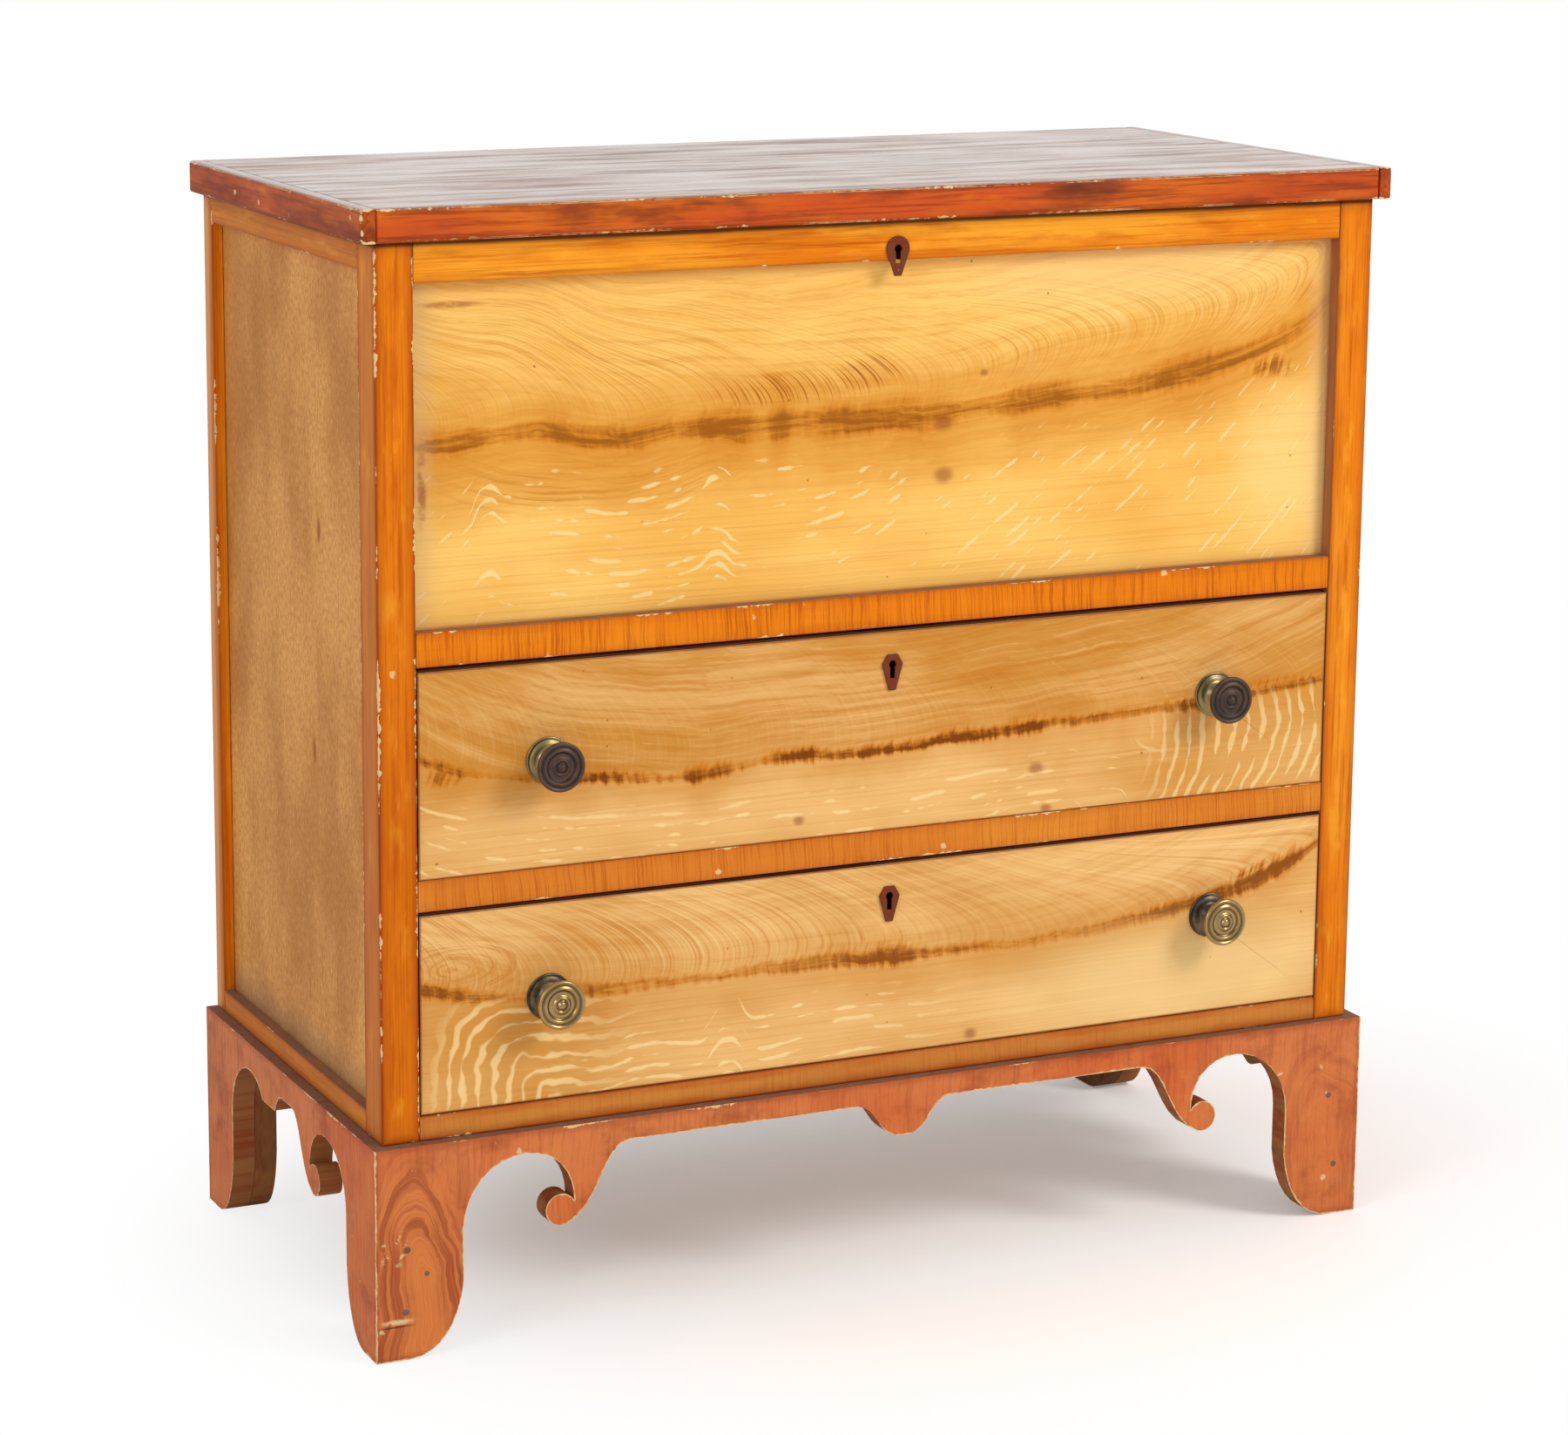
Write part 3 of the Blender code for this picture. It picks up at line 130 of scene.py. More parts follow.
class ChestColours(bpy.types.PropertyGroup):
    """Paint, wood and metal colours."""

    ochre: colour("Ochre", "Ground of the front panel", 254, 204, 111)
    ochre_deep: colour("Deep ochre", "Shaded ground of the front panel", 240, 176, 78)
    tan: colour("Tan", "Ground of the drawer fronts", 241, 192, 122)
    tan_deep: colour("Deep tan", "Shaded ground of the drawer fronts", 206, 142, 60)
    comb_brown: colour("Comb brown", "Combed strokes over the ground", 190, 112, 14)
    rust_brown: colour("Rust brown", "Soft parts of the dark band", 200, 116, 10)
    # Umber is also the painted shade along the fronts' rims and under the lid.
    umber: colour("Umber", "Dark parts of the band", 124, 58, 2)
    cream: colour("Cream", "Wiped flecks in the graining", 255, 226, 160)
    bare: colour("Bare wood", "Pale wood where paint has chipped off", 232, 196, 142)
    amber: colour("Amber", "Ground of the posts and rails", 232, 128, 18)
    amber_light: colour("Light amber", "Thin varnish on the posts and rails", 252, 168, 46)
    amber_deep: colour("Deep amber", "Grain lines on the posts and rails", 172, 68, 4)
    khaki: colour("Khaki", "Ground of the side panels", 226, 162, 88)
    khaki_deep: colour("Deep khaki", "Speckle on the side panels", 164, 98, 38)
    russet: colour("Russet", "Ground of the bracket base", 212, 122, 68)
    # Deep russet is also the dark line along the fronts' rims, partly wear and partly painted shade.
    russet_deep: colour("Deep russet", "Combing on the bracket base", 140, 54, 24)
    flame: colour("Flame", "Heart of the ovals on the feet", 220, 132, 66)
    lid_red: colour("Lid red", "Edge strips of the lid", 202, 80, 26)
    lid_red_deep: colour("Deep lid red", "Grain on the lid's edge strips", 124, 48, 18)
    lid_brown: colour("Lid brown", "Worn varnish on the lid's top", 162, 106, 62)
    # Lid black is also the painted shade in the drawer gaps, inside the keyholes, under the lid and on the rear
    # foot blocks.
    lid_black: colour("Lid black", "Dark streaks on the lid's top", 46, 32, 27)
    pine: colour("Pine", "Unpainted boards inside and behind", 206, 164, 108)
    pine_deep: colour("Deep pine", "Late wood and dirt on unpainted boards", 142, 94, 50)
    sawn: colour("Sawn edge", "Rough sawn edges under the base", 170, 122, 72)
    dust: colour("Dust", "Dust lying on ledges", 120, 98, 82)
    brass_dark: colour("Dark brass", "Browned knobs of the upper drawer", 86, 62, 46)
    brass_bright: colour("Bright brass", "Rubbed knobs of the lower drawer", 176, 148, 102)
    brass_rose: colour("Rose brass", "Plates behind the upper knobs", 150, 132, 88)
    plate_red: colour("Plate red", "Painted keyhole plates", 116, 50, 28)
    iron: colour("Iron", "Hinges, locks and nails", 70, 62, 56)
    rust: colour("Rust", "Rust on the iron", 116, 62, 36)


class ChestSizes(bpy.types.PropertyGroup):
    """Small sizes that the finishes and the loose pieces use."""

    arris: length("Arris", "Rounding of the painted boards' edges", 0.0011)
    fine_arris: length("Fine arris", "Rounding of drawer boards and plates", 0.0004)
    chip_depth: length("Chip depth", "How far paint has chipped back from an edge", 0.0042)
    wear: length("Wear", "Widest bare line along the base's outline; the lid's is half as wide", 0.0021)
    nail_radius: length("Nail radius", "Radius of the nail heads", 0.0029)
    knob_steps: IntProperty(
        name="Knob steps", description="Steps round a turned knob", min=24, max=160, default=80
    )


class ChestStage(bpy.types.PropertyGroup):
    """The camera and the light."""

    camera: FloatVectorProperty(
        name="Camera", description="Where the camera stands", subtype="TRANSLATION", unit="LENGTH", size=3,
        default=(-1.6866, -3.51585, 1.3788),
    )
    turn: angle("Turn", "Camera's turn to the right", 0.42485)
    dip: angle("Dip", "Camera's tilt downwards", 0.18923)
    roll: angle("Roll", "Camera's roll", 0.00467)
    lens: FloatProperty(name="Lens", description="Focal length", subtype="DISTANCE_CAMERA", default=96.6)
    shift: FloatVectorProperty(
        name="Shift", description="Lens shift across and up", size=2, default=(0.0556, -0.0964)
    )
    key: power("Key", "Power of the main soft lamp", 84)
    fill: power("Fill", "Power of the lamp on the left", 26)
    room: FloatProperty(name="Room", description="Light from the room itself", min=0, default=0.57)


# ---------------------------------------------------------------- shader sums


class Shade:
    """One output of a node, used as a number: a sum on it adds its Math nodes."""

    def __init__(self, finish, socket):
        self.finish = finish
        self.socket = socket

    def __add__(self, other):
        return self.finish.math("ADD", self, other)

    def __radd__(self, other):
        return self.finish.math("ADD", other, self)

    def __sub__(self, other):
        return self.finish.math("SUBTRACT", self, other)

    def __rsub__(self, other):
        return self.finish.math("SUBTRACT", other, self)

    def __mul__(self, other):
        return self.finish.math("MULTIPLY", self, other)

    def __rmul__(self, other):
        return self.finish.math("MULTIPLY", other, self)

    def __truediv__(self, other):
        return self.finish.math("DIVIDE", self, other)

    def __pow__(self, other):
        return self.finish.math("POWER", self, other)

    def __neg__(self):
        return self.finish.math("MULTIPLY", self, -1.0)

    def __abs__(self):
        return self.finish.math("ABSOLUTE", self)


class Finish:
    """A material, or the room's light, in the making, with the colour laid on it so far."""

    def __init__(self, name, store="materials"):
        self.made = getattr(bpy.data, store).new(name)
        self.made.use_nodes = True
        self.tree = self.made.node_tree
        self.tree.nodes.clear()
        self.parts = {}
        self.base = None

    def node(self, kind, settings=None, sockets=None, out=(0,)):
        """Adds a node: its settings first, then its sockets' values or links. Gives the outputs asked for."""
        made = self.tree.nodes.new("ShaderNode" + kind)
        for name, value in (settings or {}).items():
            if name == "points":
                self.bend(made.mapping, value)
            else:
                setattr(made, name, value)
        for key, value in (sockets or {}).items():
            socket = made.inputs[key]
            if isinstance(value, Shade):
                self.tree.links.new(value.socket, socket)
            elif socket.type == "RGBA":
                socket.default_value = (*value[:3], 1.0)
            else:
                socket.default_value = value
        shades = [Shade(self, made.outputs[key]) for key in out]
        return shades[0] if len(shades) == 1 else shades

    @staticmethod
    def bend(mapping, points):
        """Puts a curve node's line through the points."""
        line = mapping.curves[0]
        for _ in range(len(points) - len(line.points)):
            line.points.new(0.5, 0.5)
        for knot, place in zip(line.points, points):
            knot.location = place
        mapping.update()

    def math(self, operation, *terms):
        return self.node("Math", {"operation": operation}, dict(enumerate(terms)))

    def least(self, *terms):
        return reduce(partial(self.math, "MINIMUM"), terms)

    def most(self, *terms):
        return reduce(partial(self.math, "MAXIMUM"), terms)

    def away(self, across, up):
        """How far a point is from a middle, given how far it is across and up."""
        return self.math("SQRT", across * across + up * up)

    def parted(self, source):
        """The three parts of one of the surface's own vectors."""
        if source not in self.parts:
            vector = self.node("TexCoord", out=(source,))
            self.parts[source] = self.node("SeparateXYZ", None, {0: vector}, (0, 1, 2))
        return self.parts[source]

    def place(self):
        """The point's place at rest, in metres."""
        return self.parted("Object")

    def facing(self):
        """The way the surface faces, on the board itself."""
        return self.parted("Normal")

    def step(self, value, low, high):
        """Nought at low and one at high, with a soft rise between."""
        sockets = {0: value, 1: low, 2: high, 3: 0.0, 4: 1.0}
        return self.node("MapRange", {"interpolation_type": "SMOOTHSTEP"}, sockets)

    def joined(self, x, y, z):
        return self.node("CombineXYZ", None, {0: x, 1: y, 2: z})

    def noise(self, x, y, z, detail=2.0, roughness=0.5, warp=0.0):
        return self.node("TexNoise", None, {
            "Vector": self.joined(x, y, z), "Scale": 1.0,
            "Detail": detail, "Roughness": roughness, "Distortion": warp,
        })

    def grit(self, scale, detail=2.0, roughness=0.5):
        """Noise of the same scale all ways."""
        return self.noise(*[part * scale for part in self.place()], detail, roughness)

    def cells(self, x, y, z):
        """Scattered cells: the distance from a cell's middle, and a chance that is the cell's own."""
        sockets = {"Vector": self.joined(x, y, z), "Scale": 1.0, "Randomness": 1.0}
        distance, tone = self.node("TexVoronoi", None, sockets, ("Distance", "Color"))
        return distance, self.node("SeparateColor", None, {0: tone})

    def curve(self, value, points):
        return self.node("FloatCurve", {"points": points}, {1: value})

    def tint(self, share, under, over, way="MIX"):
        """One colour laid over another, by a share that may change over the surface."""
        settings = {"data_type": "RGBA", "blend_type": way, "clamp_factor": True}
        return self.node("Mix", settings, {0: share, 6: under, 7: over}, (2,))

    def lay(self, share, colour, way="MIX"):
        """Lays a colour over what the finish shows so far."""
        self.base = self.tint(share, self.base, colour, way)

    def spot(self, x, z, middle, radii):
        """One in the middle of an oval and nought at its rim."""
        across = (x - middle[0]) / radii[0]
        up = (z - middle[1]) / radii[1]
        return self.step(self.away(across, up), 1.0, 0.25)

    def edge(self, low, high):
        """How far the nearest arris of a square-cut board is."""
        a, b, c = [self.least(v - start, end - v) for v, start, end in zip(self.place(), low, high)]
        return self.most(self.least(a, b), self.least(self.most(a, b), c))

    def done(self, rough, height, lift, specular, metal=0.0, coat=0.0, coat_rough=0.2):
        """Joins the shader: what changes over the surface is linked, and the rest is set on the shader."""
        shader = self.node("BsdfPrincipled", None, {
            "Base Color": self.base, "Roughness": rough, "Metallic": metal, "Specular IOR Level": specular,
            "Coat Weight": coat, "Coat Roughness": coat_rough,
            "Normal": self.node("Bump", None, {"Strength": 0.6, "Distance": lift, "Height": height}),
        })
        self.node("OutputMaterial", None, {0: shader}, ())
        return self.made


# ---------------------------------------------------------------- finishes

LONG = 0.5  # only boards along the front, posts and the lid's front strip are longer than this
UNDER_LID = 0.97  # only posts and rails that meet the lid reach this high
LID_COAT_ROUGH = 0.14
KEYHOLE_RADII = (0.009, 0.012)  # the painted shade behind a keyhole, across and up
# The heights of the keyholes' middles.
KEYHOLES = {"top_front_rail": 0.9540, "upper_drawer_front": 0.5792, "lower_drawer_front": 0.3640}


def chipped(f, edge, depth, seed, amount):
    """Where paint has come off along an arris: ragged, and only in stretches."""
    x, y, z = f.place()
    ragged = f.grit(150, 3.0, 0.6)
    stretch = f.noise(x * 13 + seed, y * 13, z * 13, 2.0, 0.6)
    bare = f.step(stretch, 0.66 - 0.28 * amount, 0.74 - 0.2 * amount)
    return f.step((ragged - 0.36) * (2.4 * depth) * bare - edge, 0.0, 0.0005)


def pine_grain(f, t, run, over, through):
    """Bare pine: the colour and the height of its grain, along the run."""
    bow = f.noise(run * 1.6, over * 5, through * 5, 2.0) * 0.035
    rings = f.noise(run * 0.9, (over + bow) * 150, (through + bow) * 60, 4.0, 0.62, 0.3)
    fibre = f.noise(run * 14, over * 420, through * 420, 2.0)
    age = f.noise(run * 3, over * 7, through * 7, 3.0)
    base = f.tint(f.step(rings, 0.42, 0.68) * 0.5, t.pine, t.pine_deep)
    base = f.tint(f.step(fibre, 0.5, 0.8) * 0.25, base, t.pine_deep)
    base = f.tint(f.step(age, 0.42, 0.75) * 0.5, base, t.pine_deep, "MULTIPLY")
    return base, rings * 0.6 + fibre * 0.4


def longest_first(f, low, high):
    """The point's place with the board's own length first."""
    order = sorted(range(3), key=lambda axis: low[axis] - high[axis])
    return [f.place()[axis] for axis in order]


def pine_board(name, t, planks=1):
    """An unpainted board, or planks edge to edge, darker along its arrises and at its dark seams, with patches
    of grime.
    """
    low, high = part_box(name)
    f = Finish("pine_" + name)
    run, over, through = longest_first(f, low, high)
    if planks > 1:
        across = (f.place()[2] - low.z) * (planks / (high.z - low.z))
        plank = f.math("FLOOR", across)
        seam = abs(f.math("FRACT", across + 0.5) - 0.5) * ((high.z - low.z) / planks)
        run, through = run + plank * 3.7, through + plank * 1.3
    f.base, height = pine_grain(f, t, run, over, through)
    if planks > 1:
        tone = f.noise(plank * 5.3, 0.5, 0.5, 1.0)
        f.lay(f.step(tone, 0.35, 0.65) * 0.5, t.pine_deep, "MULTIPLY")
        f.lay(f.step(seam, 0.006, 0.0) * 0.4, t.pine_deep, "MULTIPLY")
        f.lay(f.step(seam, 0.0014, 0.0005) * 0.92, t.lid_black)
        height = height - f.step(seam, 0.0020, 0.0003) * 3.0
    grime_and_shade = f.grit(9, 4.0, 0.6)
    # Darker along the board's arrises, and in patches.
    corners = f.step(f.edge(low, high), 0.004, 0.0)
    f.lay(corners * 0.35 + f.step(grime_and_shade, 0.55, 0.8) * 0.3, t.pine_deep, "MULTIPLY")
    return f.done(0.62 + grime_and_shade * 0.2, height, 0.0003, specular=0.2)


# The graining on each front, as places on the chest.
#   band, press: the dark band's line, and how hard the brush was pressed along it
#   thick, dabs, dark, glow: how wide the band is, how broken, how dark, and how warm round it
#   pitch, thin: how close the combed strokes are, and how far along they have opened out
#   bend, turn: how the strokes bend, and how far above the band they turn, at the left and at the right
#   comb, reach: how strong the strokes are, and how far above the band they reach
#   smoke, shade, pale: the brushwork and shading above the band, and pale places
#   rows, row_pitch, dash, sparse: the lie of the wiped rows below the band, and how their flecks are spaced
#   flecks, fleck_end, hooks: how strong the flecks are, where they end, and where the rows hook upwards
#   blots, knots: dark places beside the band, and knots
#   bowl, swirl, arch, waves: brown sweeps below the band, rings round an eye, and arched or waved strokes
FRONT_PANEL = {
    "band": (
        (-0.4575, 0.806), (-0.419, 0.804), (-0.354, 0.813), (-0.272, 0.800), (-0.188, 0.805), (-0.103, 0.803),
        (-0.016, 0.802), (0.072, 0.804), (0.162, 0.813), (0.253, 0.820), (0.394, 0.848), (0.4575, 0.885),
    ),
    "press": (
        (-0.4575, 0.2), (-0.425, 0.6), (-0.40, 0.55), (-0.36, 0.25), (-0.32, 0.6), (-0.26, 0.65), (-0.21, 0.45),
        (-0.18, 0.8), (-0.15, 0.85), (-0.125, 0.45), (-0.109, 1.0), (-0.09, 0.5), (-0.06, 0.8), (-0.03, 0.85),
        (0.04, 0.7), (0.07, 0.45), (0.10, 0.35), (0.13, 0.7), (0.17, 0.75), (0.20, 0.35), (0.26, 0.5),
        (0.30, 0.8), (0.34, 0.7), (0.40, 0.5), (0.4575, 0.4),
    ),
    "thick": 0.033, "dabs": 0.45, "dark": 0.64, "glow": 0.95, "pitch": 0.0034, "thin": 4.0,
    "bend": (20.0, 34.0), "turn": (0.014, 0.055), "comb": 0.46, "reach": 0.15, "smoke": 0.5, "shade": 0.0,
    "pale": ((0.42, 0.74, 0.08, 0.10, 0.3), (0.25, 0.935, 0.24, 0.06, 0.35)),
    "rows": (
        (-0.4575, -0.055), (-0.402, -0.010), (-0.386, 0.006), (-0.368, -0.006), (-0.30, -0.004), (-0.19, 0.0),
        (-0.170, 0.013), (-0.148, 0.0), (-0.06, 0.006), (0.05, 0.06), (0.4575, 0.33),
    ),
    "row_pitch": 0.0108, "dash": 34.0, "sparse": 0.56, "flecks": 0.6, "fleck_end": 0.6,
    "hooks": (-0.386, -0.170),
    "blots": (
        (-0.105, 0.836, 0.10, 0.010, 1.2), (-0.020, 0.846, 0.05, 0.010, 1.5), (0.394, 0.826, 0.040, 0.008, 1.0),
        (0.424, 0.902, 0.020, 0.018, 0.7), (0.385, 0.868, 0.06, 0.006, 0.6),
    ),
    "knots": ((0.054, 0.797, 0.010), (0.055, 0.749, 0.010), (0.094, 0.839, 0.004)),
    "bowl": ((-0.29, 0.780), (0.19, 0.050), 1.5),
}
UPPER_DRAWER = {
    "band": (
        (-0.4575, 0.537), (-0.432, 0.526), (-0.36, 0.510), (-0.277, 0.503), (-0.193, 0.499), (-0.107, 0.503),
        (-0.02, 0.503), (0.068, 0.506), (0.158, 0.511), (0.25, 0.514), (0.343, 0.518), (0.4575, 0.530),
    ),
    "press": (
        (-0.4575, 0.55), (-0.42, 0.6), (-0.39, 0.2), (-0.33, 0.3), (-0.29, 0.6), (-0.25, 0.55), (-0.22, 0.4),
        (-0.19, 0.95), (-0.16, 0.6), (-0.135, 0.3), (-0.11, 0.9), (-0.08, 0.85), (-0.06, 0.5), (-0.02, 0.7),
        (0.02, 0.6), (0.05, 0.85), (0.09, 0.9), (0.12, 0.8), (0.14, 1.0), (0.165, 0.45), (0.20, 0.5),
        (0.25, 0.4), (0.29, 0.6), (0.31, 0.85), (0.34, 0.4), (0.38, 0.55), (0.4575, 0.5),
    ),
    "thick": 0.0150, "dabs": 1.0, "dark": 1.0, "glow": 0.4, "pitch": 0.0050, "thin": 4.0,
    "bend": (10.0, 16.0), "turn": (0.02, 0.0), "comb": 0.1, "reach": 0.10, "smoke": 0.85, "shade": 0.5,
    "pale": (),
    "rows": (
        (-0.4575, 0.004), (-0.30, 0.0), (0.0, 0.004), (0.15, 0.010), (0.185, 0.008), (0.215, -0.022),
        (0.235, -0.026), (0.262, -0.060), (0.30, -0.068), (0.33, -0.10), (0.4575, -0.30),
    ),
    "row_pitch": 0.0098, "dash": 30.0, "sparse": 0.55, "flecks": 0.5, "fleck_end": 0.32, "hooks": (),
    "blots": (
        (-0.43, 0.520, 0.04, 0.005, 0.8), (0.135, 0.514, 0.03, 0.007, 0.9), (0.40, 0.528, 0.06, 0.008, 0.6),
    ),
    "knots": ((0.148, 0.472, 0.008), (-0.094, 0.446, 0.006), (0.158, 0.432, 0.006)),
    "waves": (0.280, 0.46, 5.0, 0.0150),
}
LOWER_DRAWER = {
    "band": (
        (-0.4575, 0.330), (-0.42, 0.322), (-0.359, 0.314), (-0.276, 0.312), (-0.192, 0.310), (-0.106, 0.312),
        (-0.019, 0.310), (0.07, 0.308), (0.161, 0.307), (0.272, 0.318), (0.366, 0.335), (0.4575, 0.372),
    ),
    "press": (
        (-0.4575, 0.6), (-0.40, 0.6), (-0.36, 0.35), (-0.32, 0.45), (-0.25, 0.35), (-0.19, 0.2), (-0.12, 0.4),
        (-0.09, 0.6), (-0.02, 0.7), (0.005, 0.9), (0.03, 0.5), (0.10, 0.3), (0.18, 0.3), (0.235, 0.55),
        (0.30, 0.65), (0.33, 0.5), (0.35, 0.9), (0.42, 1.0), (0.44, 0.5), (0.4575, 0.3),
    ),
    "thick": 0.021, "dabs": 0.9, "dark": 0.85, "glow": 0.35, "pitch": 0.0033, "thin": 0.56,
    "bend": (20.0, 40.0), "turn": (0.016, 0.0), "comb": 0.44, "reach": 0.11, "smoke": 0.4, "shade": 0.05,
    "pale": ((0.30, 0.255, 0.26, 0.075, 0.55),),
    "rows": (
        (-0.4575, 0.0), (-0.36, 0.004), (-0.30, -0.004), (-0.24, 0.004), (-0.19, 0.0), (-0.165, 0.020),
        (-0.15, 0.012), (-0.13, -0.006), (-0.08, 0.0), (-0.02, 0.004), (0.05, 0.0), (0.4575, 0.10),
    ),
    "row_pitch": 0.0105, "dash": 26.0, "sparse": 0.52, "flecks": 0.6, "fleck_end": 0.02, "hooks": (-0.165,),
    "blots": (
        (-0.42, 0.322, 0.045, 0.005, 0.9), (-0.03, 0.322, 0.09, 0.012, 0.55), (0.395, 0.350, 0.05, 0.009, 1.0),
    ),
    "knots": ((0.084, 0.226, 0.007),),
    "swirl": ((-0.425, 0.346), (0.050, 0.020)), "arch": (-0.336, 0.222, 0.0150, 0.122),
}


def hairs(f, way, pitch, along, seed):
    """Fine combed lines of uneven weight, one to a pitch."""
    drift = f.noise(way * 40, along * 6, seed, 2.0)
    weight = f.noise(way * 95, along * 13, seed + 3.3, 2.0)
    tooth = f.math("FRACT", way * (1 / pitch) + drift * 1.8)
    return f.step(abs(tooth - 0.5), 0.34, 0.06) * f.step(weight, 0.34, 0.64)


def oak(f, t, look, ground, deep, left, right, low, high, seed):
    """Lays painted oak on one front, and gives the height of the brush marks."""
    x, _, z = f.place()
    wide, tall = right - left, high - low
    share = (x - left) / wide
    points = [((px - left) / wide, (pz - low) / tall) for px, pz in look["band"]]
    rise = z - (f.curve(share, points) * tall + low)
    press = f.curve(share, [((px - left) / wide, weight) for px, weight in look["press"]])
    wander = f.noise(x * 13, z * 13, seed, 3.0, 0.6) - 0.5
    sway = f.noise(x * 3.1, z * 4.2, seed + 1.7, 2.0) - 0.5
    above = f.step(rise, -0.006, 0.012)
    under = f.step(rise, 0.008, -0.018)

    # The clouded ground, with smoky brushwork above the band and fine threads below it.
    cloud = f.noise(x * 4.5, z * 9, seed + 3.1, 3.0)
    bowed = rise - x * x * 0.22 + sway * 0.05
    smoke = f.noise(x * 5 + sway, bowed * 40, seed + 2.3, 4.0, 0.62, 0.8)
    brush = f.noise(x * 7 + wander * 2.0, (bowed + wander * 0.010) * 190, seed + 3.7, 5.0, 0.68)
    thread = f.noise(x * 4, (z + wander * 0.003) * 480, seed + 4.3, 3.0, 0.6)
    shaded = f.step(cloud, 0.36, 0.7) * 0.7 + above * look["shade"] + under * 0.12
    f.base = f.tint(f.least(shaded, 1.0), ground, deep)
    f.lay(f.step(smoke, 0.44, 0.70) * above * look["smoke"] * 0.8, deep)
    f.lay(f.step(smoke, 0.52, 0.78) * above * look["smoke"] * 0.45, t.comb_brown)
    f.lay(f.step(brush, 0.47, 0.64) * above * look["smoke"] * 0.5, t.comb_brown)
    f.lay(f.step(brush, 0.46, 0.33) * above * look["smoke"] * 0.4, ground)
    f.lay(f.step(thread, 0.46, 0.74) * (0.10 + under * 0.13), t.comb_brown)
    f.lay(f.step(thread, 0.44, 0.26) * under * 0.2, t.cream)

    # Combed strokes above the band, bending into it.
    far_side = f.step(x, -0.15, 0.32)
    near_turn, far_turn = look["turn"]
    near_bend, far_bend = look["bend"]
    turn = rise - (near_turn + far_side * (far_turn - near_turn))
    bend = near_bend + far_side * (far_bend - near_bend)
    stroke = x + turn * turn * bend * (1.0 + sway * 0.3) + sway * 0.035 + wander * 0.005
    spread = 1.0 - f.math("EXPONENT", (stroke - left) * (-1 / look["thin"]))
    line = f.noise(spread * (1.6 * look["thin"] / look["pitch"]), rise * 7, seed + 5.9, 2.5, 0.6)
    furrow = f.step(line, 0.50, 0.66)
    patch = f.step(f.noise(x * 5, z * 7, seed + 7.7, 2.0), 0.30, 0.60)
    fade = f.step(rise, look["reach"] * 1.3, look["reach"] * 0.2) * above
    worked = (0.25 + fade * 0.75) * above * (0.4 + patch * 0.6) * look["comb"]
    f.lay(furrow * worked, t.comb_brown)
    f.lay(f.step(line, 0.48, 0.34) * worked * 0.8, t.cream)
    if "bowl" in look:
        middle, radii, deepness = look["bowl"]
        aside = x - middle[0] + sway * 0.05
        dip = z - aside * aside * deepness + wander * 0.012
        swept = f.noise(dip * 330, x * 9, seed + 13.1, 3.0, 0.6)
        shown = f.spot(x + wander * 0.04, z + wander * 0.03, middle, radii) * f.step(rise, 0.012, -0.004)
        f.lay(shown * (0.40 + f.step(swept, 0.42, 0.66) * 0.55), t.rust_brown)
        darker = 0.5 + f.step(rise, -0.03, -0.005) * 0.4
        f.lay(shown * f.step(swept, 0.50, 0.68) * darker, t.umber)
    if "swirl" in look:
        middle, radii = look["swirl"]
        ring = f.away((x - middle[0] + wander * 0.01) / radii[0], (z - middle[1]) / radii[1])
        swept = f.noise(ring * 9, x * 20, seed + 14.9, 2.5, 0.6)
        f.lay(f.step(ring, 1.7, 1.0) * f.step(swept, 0.46, 0.66) * 0.5, t.comb_brown)

    # The dark band, dabbed along its line, and the blots beside it.
    ragged = rise + wander * 0.014
    streak = f.noise(x * 14 + wander * 3.0, ragged * 150, seed + 8.3, 5.0, 0.68, 0.5)
    flick = f.noise((x - rise * 0.3 + wander * 0.012) * 190, rise * 10, seed + 10.7, 2.5, 0.6)
    dab = f.noise((x + rise * 0.15 + wander * 0.012) * 150, rise * 8, seed + 11.9, 2.5, 0.6)
    upper = (0.30 + press * 0.75) * (0.8 + (flick - 0.5) * 1.7 * look["dabs"]) * look["thick"]
    lower = (0.30 + press * 0.50) * (0.8 + (dab - 0.5) * 1.7 * look["dabs"]) * look["thick"]
    body = f.step(ragged, f.most(upper, 0.0008), upper * 0.15)
    body = body * f.step(-ragged, f.most(lower, 0.0008), lower * 0.2)
    warm = f.step(abs(rise + 0.004 + wander * 0.06), look["thick"] * 2.4, 0.0)
    f.lay(warm * look["glow"], deep)
    f.lay(warm * (0.30 + press * 0.4 + (streak - 0.5)) * look["glow"], t.rust_brown)
    uneven = (streak - 0.5) * (2.4 - look["dabs"])
    tone = body * (0.36 + press * 0.66 + uneven + (dab - 0.5) * 1.1 * look["dabs"])
    stroked = f.step(rise, 0.010, 0.020)
    marks = furrow * stroked + f.step(flick, 0.40, 0.60) * (1 - stroked)
    for bx, bz, rx, rz, dark in look["blots"]:
        blot = f.spot(x + wander * 0.05, z + wander * 0.030, (bx, bz), (rx, rz * 2.2)) * dark
        tone = f.most(tone, blot * (0.2 + marks * 0.65 + (streak - 0.5) * (1 - stroked) * 1.3))
    f.lay(f.step(tone, 0.04, 0.62) * (0.3 + look["dark"] * 0.45), t.rust_brown)
    f.lay(f.step(tone, 0.46, 1.0) * look["dark"] * 0.95, t.umber)

